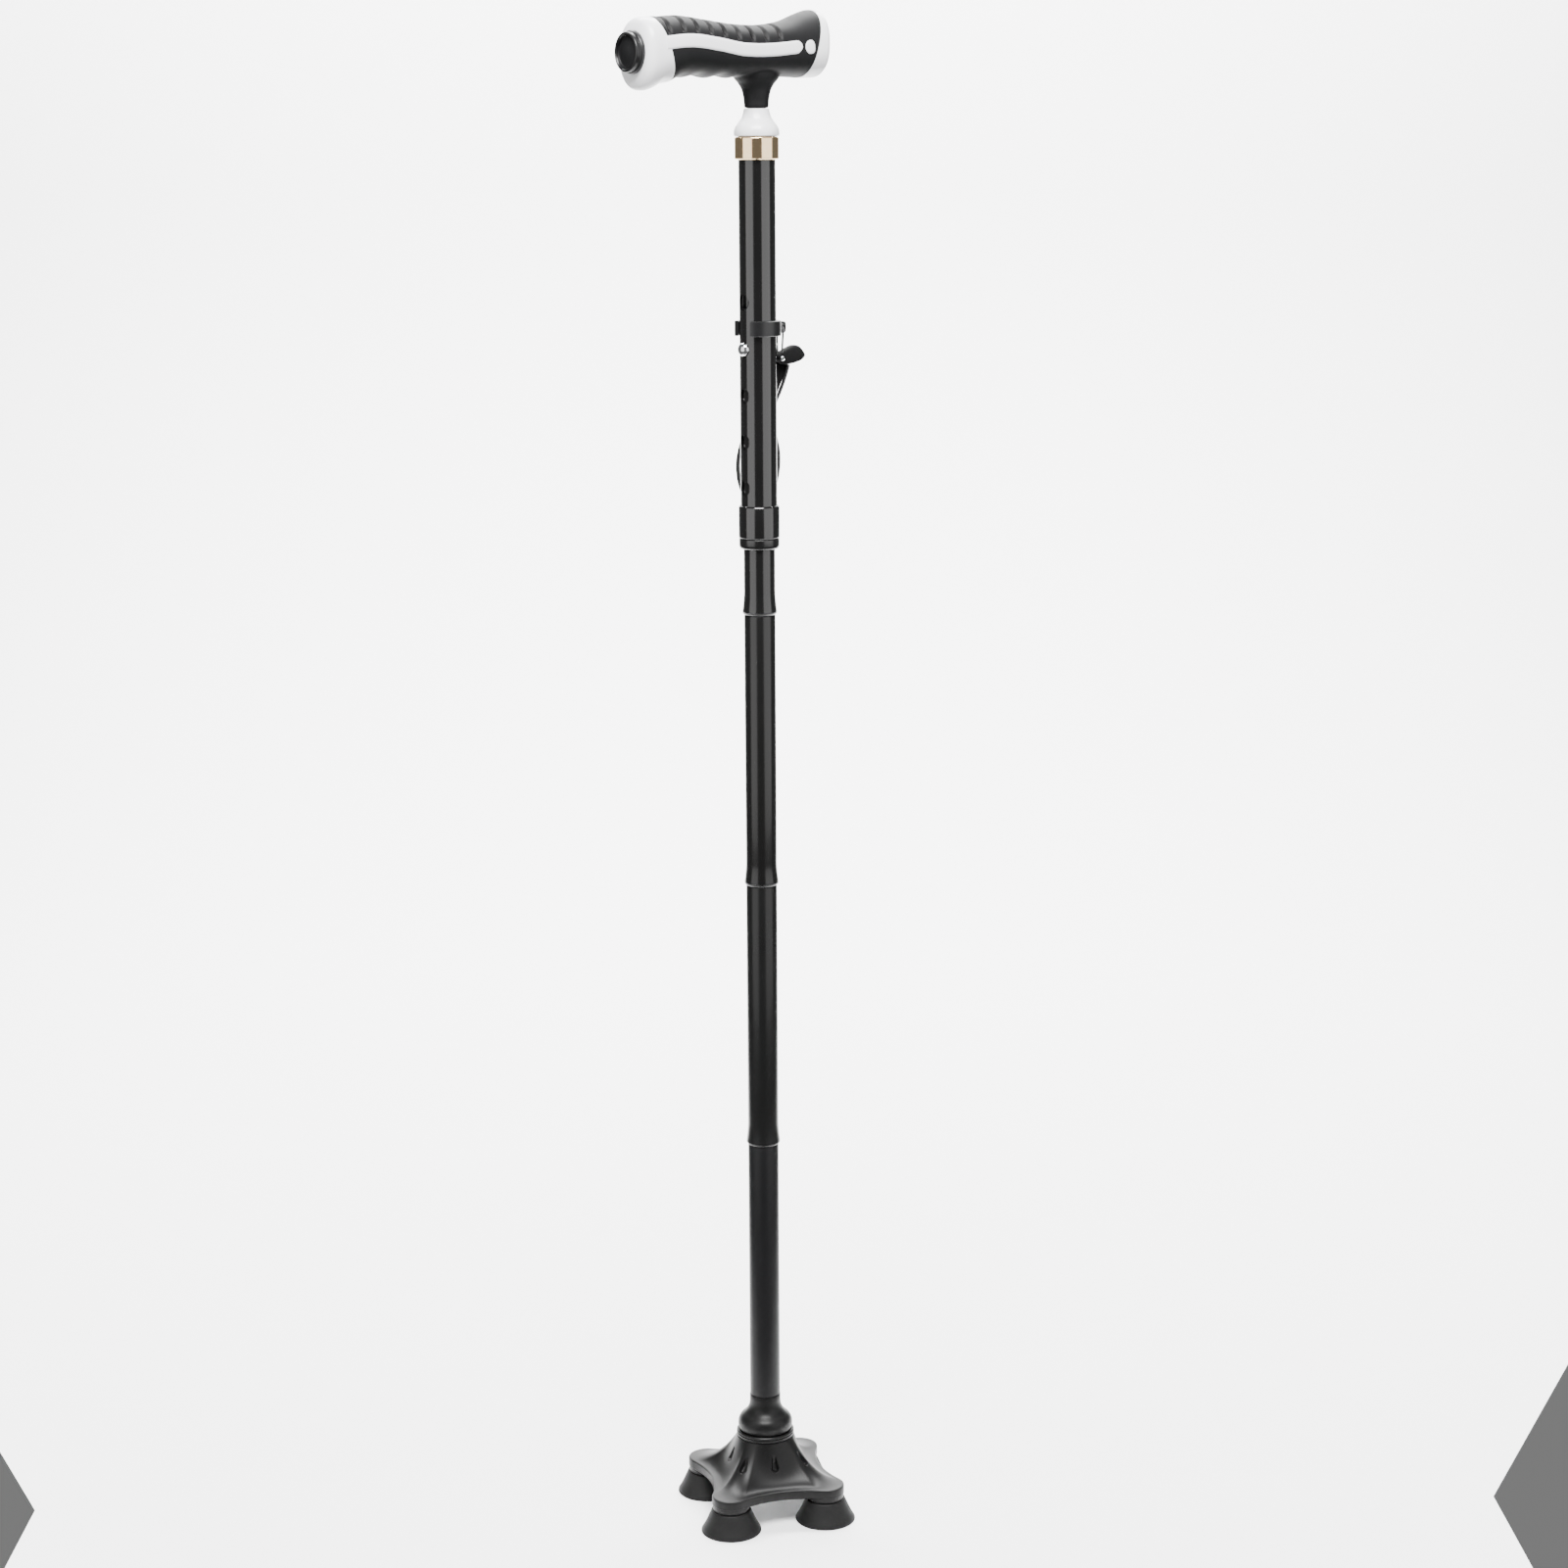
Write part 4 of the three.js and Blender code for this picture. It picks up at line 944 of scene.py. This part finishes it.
def bezier_points(start, curves, steps):
    """Points along joined cubic curves, each given as two handles and an end."""
    points = [start]
    for handle_a, handle_b, end in curves:
        origin = points[-1]
        for i in range(1, steps + 1):
            t = i / steps
            points.append(tuple((1 - t) ** 3 * o + 3 * t * (1 - t) ** 2 * a + 3 * t * t * (1 - t) * b
                                + t ** 3 * e for o, a, b, e in zip(origin, handle_a, handle_b, end)))
    return points


STRAP_THICK = 1.4
STRAP_SLANT = 0.8
STRAP_NEAR, STRAP_FAR = 12.9, 22.9
strap_line = bezier_points((18, 727.4), [((16.4, 720), (13.4, 712), (10.6, 706)),
                                         ((8.6, 702), (7.8, 699), (7.8, 695)),
                                         ((7.8, 688), (12, 682), (12, 671)),
                                         ((12, 655.5), (6.6, 644.3), (-1, 644.3)),
                                         ((-7.6, 644.3), (-12.6, 653.5), (-12.6, 667)),
                                         ((-12.6, 683), (-1.4, 699.6), (5.7, 707.6)),
                                         ((8.8, 712.6), (12.6, 719.4), (12.9, 727.4))], 20)


def ribbon(name, line, near, far, thick, material, across=8):
    """A webbing ribbon along an upright (s, z) line, with a rounded selvedge and UVs in mm."""
    profile = [(-1 + 2 * k / across, 1) for k in range(across + 1)]
    profile += [(1 - 2 * k / across, -1) for k in range(across + 1)]
    verts, uvs, run = [], [], 0
    for i, (s, z) in enumerate(line):
        before, after = line[max(i - 1, 0)], line[min(i + 1, len(line) - 1)]
        ds, dz = after[0] - before[0], after[1] - before[1]
        size = math.hypot(ds, dz)
        if i:
            run += math.hypot(s - line[i - 1][0], z - line[i - 1][1])
        for v, face in profile:
            half = thick / 2 * (1 - abs(v) ** 6 * 0.7) * face
            spot = (ALONG * (s - dz / size * half + STRAP_SLANT * v)
                    + ACROSS * ((near + far) / 2 + (far - near) / 2 * v))
            verts.append(at(spot.x, spot.y, z + ds / size * half))
            uvs.append((run, (far - near) / 2 * v + 10 * face))
    piece = mesh_piece(name, verts, loft_faces(len(line), len(profile)), material, 50)
    layer = piece.data.uv_layers.new(name="UVMap")
    lookup = {tuple(round(c, 7) for c in v): uv for v, uv in zip(verts, uvs)}
    for loop in piece.data.loops:
        co = piece.data.vertices[loop.vertex_index].co
        layer.data[loop.index].uv = lookup.get(tuple(round(c, 7) for c in co), (0, 0))
    return piece


wrist_strap = ribbon("wrist_strap_loop", strap_line, STRAP_NEAR, STRAP_FAR, STRAP_THICK, webbing)
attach(wrist_strap, "strap")
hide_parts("wrist_strap")
FOLD_TOP, FOLD_HEIGHT, FOLD_ROWS = 730.5, 24, 12
verts = []
for i in range(FOLD_ROWS + 1):
    z = FOLD_TOP - FOLD_HEIGHT * i / FOLD_ROWS
    edge = 18.8 - 0.42 * (FOLD_TOP - z) + 0.006 * (FOLD_TOP - z) ** 1.5
    for s, depth in ((10.2 - 0.1 * i, STRAP_NEAR + 0.6), (edge, STRAP_NEAR + 0.6), (edge + 0.4, 18),
                     (edge, STRAP_FAR - 0.6), (10.2 - 0.1 * i, STRAP_FAR - 0.6)):
        spot = ALONG * s + ACROSS * depth
        verts.append(at(spot.x, spot.y, z))
strap_fold = mesh_piece("strap_fold", verts, loft_faces(FOLD_ROWS + 1, 5), webbing, 50, 0.3)
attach(strap_fold, "strap")
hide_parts("wrist_strap")

tab_top = smooth_through([(14, 733.6), (15.5, 735.4), (20.8, 737.9), (25.7, 739.5), (29.1, 739),
                          (31.9, 736.8), (35, 733.8)])
tab_bottom = smooth_through([(14, 731.4), (16, 729.4), (19, 728.2), (25.4, 728.8), (28.2, 729.4),
                             (31.9, 730.6), (35, 732.6)])
TAB_ROWS, TAB_SIDES = 40, 24
verts = []
for i in range(TAB_ROWS + 1):
    x = 14 + 21 * i / TAB_ROWS
    low, high = tab_bottom(x), tab_top(x)
    half = 2.9 * (1 - (max(0, x - 29) / 6.4) ** 2) + 0.25
    for k in range(TAB_SIDES):
        turn = 2 * math.pi * k / TAB_SIDES
        c, s = math.cos(turn), math.sin(turn)
        stitch = 0.22 * math.sin(x * 4.2) if abs(s) > 0.6 and abs(s) < 0.8 else 0
        verts.append(at(x, half * math.copysign(abs(c) ** 0.45, c) + stitch * c,
                        (low + high) / 2 + (high - low) / 2 * math.copysign(abs(s) ** 0.55, s)))
strap_tab = mesh_piece("strap_tab", verts, loft_faces(TAB_ROWS + 1, TAB_SIDES), webbing, 50)
layer = strap_tab.data.uv_layers.new(name="UVMap")
for loop in strap_tab.data.loops:
    co = strap_tab.data.vertices[loop.vertex_index].co
    layer.data[loop.index].uv = ((co.x - AXIS_X) / MM, co.z / MM)
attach(strap_tab, "strap")
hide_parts("strap_end")

RIVET_X, RIVET_Z = 16.2, 732
rivet_verts = []
for k in range(32):
    turn = 2 * math.pi * k / 32
    for r, y in ((0.7, -2.6), (0.7, -3.3), (1, -3.55), (1.4, -3.4), (1.6, -2.9), (1.6, -2.6)):
        rivet_verts.append(at(RIVET_X + r * math.cos(turn), y, RIVET_Z + r * math.sin(turn)))
faces = [(6 * k + i, 6 * k + (i + 1) % 6, (k + 1) % 32 * 6 + (i + 1) % 6, (k + 1) % 32 * 6 + i)
         for k in range(32) for i in range(6)]
rivet = mesh_piece("strap_rivet", rivet_verts, faces, chrome, 50)
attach(rivet, "strap")
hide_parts("strap_end")

CORD_R = 0.6
CORD_END = 735.5
cord_route = [(16.4, -2.2, CORD_END), (16.2, -2.8, 742), (16.6, -2.8, 746), (17, -2.5, 749.4),
              (17, -1.2, 751), (17, 0, 751.1), (17, 1.2, 751), (17, 2.5, 749.4),
              (16.6, 2.8, 746), (16.2, 2.7, 742), (16.4, 2.2, CORD_END)]
cord_material, cord_tree, cord_shader = new_material("thin_braided_polyester_cord", Roughness=0.65,
                                                     Sheen_Weight=0.3, IOR=1.48)
cord_wave = add_node(cord_tree, "ShaderNodeTexWave", {"Scale": 0.8, "bands_direction": "DIAGONAL"},
                     {"Vector": place(cord_tree)})
tint_between(cord_tree, cord_shader, cord_wave.outputs["Fac"],
             linear("#121213"), linear("#303032"))
add_relief(cord_tree, cord_shader, cord_wave.outputs["Fac"], 0.5, 0.0001)
curve = bpy.data.curves.new("strap_cord_route", "CURVE")
curve.dimensions = "3D"
curve.bevel_depth = CORD_R * MM
curve.bevel_resolution = 4
curve.resolution_u = 6
curve.use_fill_caps = True
spline = curve.splines.new("NURBS")
spline.points.add(len(cord_route) - 1)
for point, spot in zip(spline.points, cord_route):
    point.co = (*at(*spot), 1)
spline.order_u = 3
spline.use_endpoint_u = True
curve.materials.append(cord_material)
strap_cord = bpy.data.objects.new("strap_cord_braid", curve)
bpy.context.collection.objects.link(strap_cord)
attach(strap_cord, "strap")
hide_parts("strap_cord")


# ---- Ankle -------------------------------------------------------------------------------
# Moulded nylon ankle pressed into the lowest tube, ending in a ball that a screw and washer
# hold in the base against a rubber cushion, so that the base can tilt and turn.
base_black = moulded_nylon("satin_charcoal_moulded_nylon", "#0b0b0b", 0.36, 0.8, 0.13)
BALL_Z = 57.5
SEAM_Z = 76.6
ankle = turned("ankle_moulding", [
    (0, 54.5), (2.8, 54.5), *arc(0, BALL_Z, 17, -80.4, -15, 14), (17.2, 54.9), (17.3, 56.6),
    (17.2, 58.3), (16.7, 60), (15.8, 61.5), (14.5, 62.8), (13.1, 63.9), (11.9, 65.2),
    (10.9, 66.9), (10.2, 68.7), (9.85, 70.6), (9.75, 72.5), (9.75, SEAM_Z - 0.75),
    (9.6, SEAM_Z - 0.45),
    (LOWER_BORE - 0.3, SEAM_Z - 0.45), (LOWER_BORE - 0.3, 99.5), (7.6, 100), (0, 100)],
    base_black, sides=128, ring=False)
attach(ankle, "section_4")
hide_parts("ankle")
dress("pivot_cushion", button_rubber)
dress("pivot_cup", acetal)
dress("pivot_washer", zinc)
dress("pivot_screw", zinc)

# ---- Base --------------------------------------------------------------------------------
# Four-cornered saddle-shaped nylon moulding with eight drop-shaped recesses round its hub, a
# snapped-in ring above it, a steel plate below and a screw up through each foot.
BASE_TURN = math.radians(-67)
FOOT_REACH = 43.7
CORNER_R = 12
SIDE_DISTANCE = 36
RING_R = 18.3
RIM_LOW, RIM_HIGH, HUB_HIGH = 17.6, 23.6, 48.5
side_radius = ((FOOT_REACH ** 2 - 2 * FOOT_REACH * math.sqrt(0.5) * SIDE_DISTANCE
                + SIDE_DISTANCE ** 2 - CORNER_R ** 2)
               / (2 * (CORNER_R + FOOT_REACH * math.sqrt(0.5) - SIDE_DISTANCE)))
side_centre = SIDE_DISTANCE + side_radius
away = (side_centre * math.sqrt(0.5) - FOOT_REACH, side_centre * math.sqrt(0.5))
tangent = math.atan2(away[1] * CORNER_R / math.hypot(*away),
                     FOOT_REACH + away[0] * CORNER_R / math.hypot(*away))


def rim_radius(turn, inset=0.0):
    """Outline of the base at an angle from a corner: a round corner, then a concave side."""
    offset = abs(turn - round(turn / (math.pi / 2)) * math.pi / 2)
    if offset <= tangent:
        return FOOT_REACH * math.cos(offset) + math.sqrt(
            max(0, (CORNER_R - inset) ** 2 - (FOOT_REACH * math.sin(offset)) ** 2))
    lean = math.pi / 4 - offset
    return side_centre * math.cos(lean) - math.sqrt(
        (side_radius + inset) ** 2 - (side_centre * math.sin(lean)) ** 2)


SLOT_Z = 36.8
SLOT_LENGTH, SLOT_WIDTH, SLOT_DEPTH = 11, 6, 2.6


def saddle_point(turn, rise):
    """The base's top surface between its rim (rise 0) and its hub (rise 1), without recesses."""
    reach = rim_radius(turn, 0.9)
    return reach + (RING_R - reach) * rise, RIM_HIGH + (HUB_HIGH - RIM_HIGH) * rise ** 2.3


TURNS, RISES = 720, 110
base_verts = []
for k in range(TURNS):
    turn = 2 * math.pi * k / TURNS
    slot_turn = round(turn / (math.pi / 4)) * math.pi / 4
    column = []
    for i in range(RISES + 1):
        rise = i / RISES
        r, z = saddle_point(turn, rise)
        r_ahead, z_ahead = saddle_point(turn, min(1, rise + 0.01))
        r_back, z_back = saddle_point(turn, max(0, rise - 0.01))
        slope = Vector((r_back - r_ahead, z_ahead - z_back)).normalized()
        sideways = r * math.sin(turn - slot_turn)
        slot_rise = ((SLOT_Z - RIM_HIGH) / (HUB_HIGH - RIM_HIGH)) ** (1 / 2.3)
        r_mid, z_mid = saddle_point(slot_turn, slot_rise)
        downhill = (r - r_mid) * slope.x + (z_mid - z) * slope.y
        t = downhill / SLOT_LENGTH + 0.5
        dip = 0.0
        if 0 < t < 1:
            half = SLOT_WIDTH / 2 * (0.25 + 0.75 * t ** 0.8) * min(1, (1 - t) * 5) ** 0.5
            if half > 0 and abs(sideways) < half:
                wall = 1 - abs(sideways / half) ** 4
                dip = SLOT_DEPTH * wall * min(1, t * 2.2) * min(1, (1 - t) * 6)
        column.append((r - slope.y * dip, z - slope.x * dip))
    edge = [(rim_radius(turn, 0), RIM_LOW + 0.7), (rim_radius(turn, 0), RIM_HIGH - 1.0),
            (rim_radius(turn, 0.08), RIM_HIGH - 0.6), (rim_radius(turn, 0.3), RIM_HIGH - 0.25)]
    inner = [(RING_R - 0.6, HUB_HIGH), (16, HUB_HIGH), (15.1, 48), (17.2, 44.1), (17.6, 42.1),
             (17.6, 35.5), (20, 31.5), (24.5, 25), (31, 20.6), (31, RIM_LOW)]
    for r, z in [(rim_radius(turn, 0.5), RIM_LOW), *edge, *column, *inner]:
        angle = turn + BASE_TURN
        base_verts.append(at(r * math.cos(angle), r * math.sin(angle), z))
star = mesh_piece("base_moulding", base_verts,
                  revolved_faces(TURNS, len(base_verts) // TURNS), base_black, 35)
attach(star, "base")
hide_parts("base_body")

FOOT_TOP = 14.3
foot_spots = [(FOOT_REACH * math.cos(BASE_TURN + i * math.pi / 2),
               FOOT_REACH * math.sin(BASE_TURN + i * math.pi / 2)) for i in range(4)]
for number, spot in enumerate(foot_spots):
    boss = turned(f"foot_boss_{number + 1}", [
        (2.3, RIM_LOW + 0.5), (2.3, FOOT_TOP + 0.3), (11.1, FOOT_TOP + 0.3), (11.5, FOOT_TOP + 0.8),
        (11.9, RIM_LOW + 0.5)], base_black, centre=spot)
    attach(boss, "base")
    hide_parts("base_body")

base_ring = turned("base_ring_moulding", [
    (15.1, 48.8), (17.7, 48.8), (18.2, 49.2), (18.3, 50.5), (17.7, 50.8), (17.7, 51.1),
    (18.2, 51.4), (18.2, 52), (17.7, 52.5), (16.9, 52.6), (16.75, 52.4)], base_black, sides=128)
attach(base_ring, "base")
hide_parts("base_ring")
dress("bottom_plate", zinc)

# ---- Feet --------------------------------------------------------------------------------
# Moulded black rubber suction cups, 38 mm across, each with a soft matt bloom and held by its
# own steel screw.
foot_rubber = soft_rubber("moulded_black_foot_rubber", "#070707", 0.9)
for number, spot in enumerate(foot_spots):
    foot = turned(f"foot_cup_{number + 1}", [
        (0, 5.5), (6, 5.1), (9, 3.9), (11.5, 2.6), (13.4, 1.1), (15, 0.15), (16, 0), (18.6, 0),
        (18.95, 0.35), (18.9, 0.9), (17.5, 3.2), (15.6, 6.9), (13.9, 10.8), (12.7, 13.5),
        (12.4, 14.1), (12, FOOT_TOP), (2.3, FOOT_TOP), (2.3, 8.5), (0, 8.5)],
        foot_rubber, sides=96, ring=False, centre=spot, angle=40)
    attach(foot, "base")
    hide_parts(f"foot_{number + 1}")
    dress(f"foot_screw_{number + 1}", zinc)
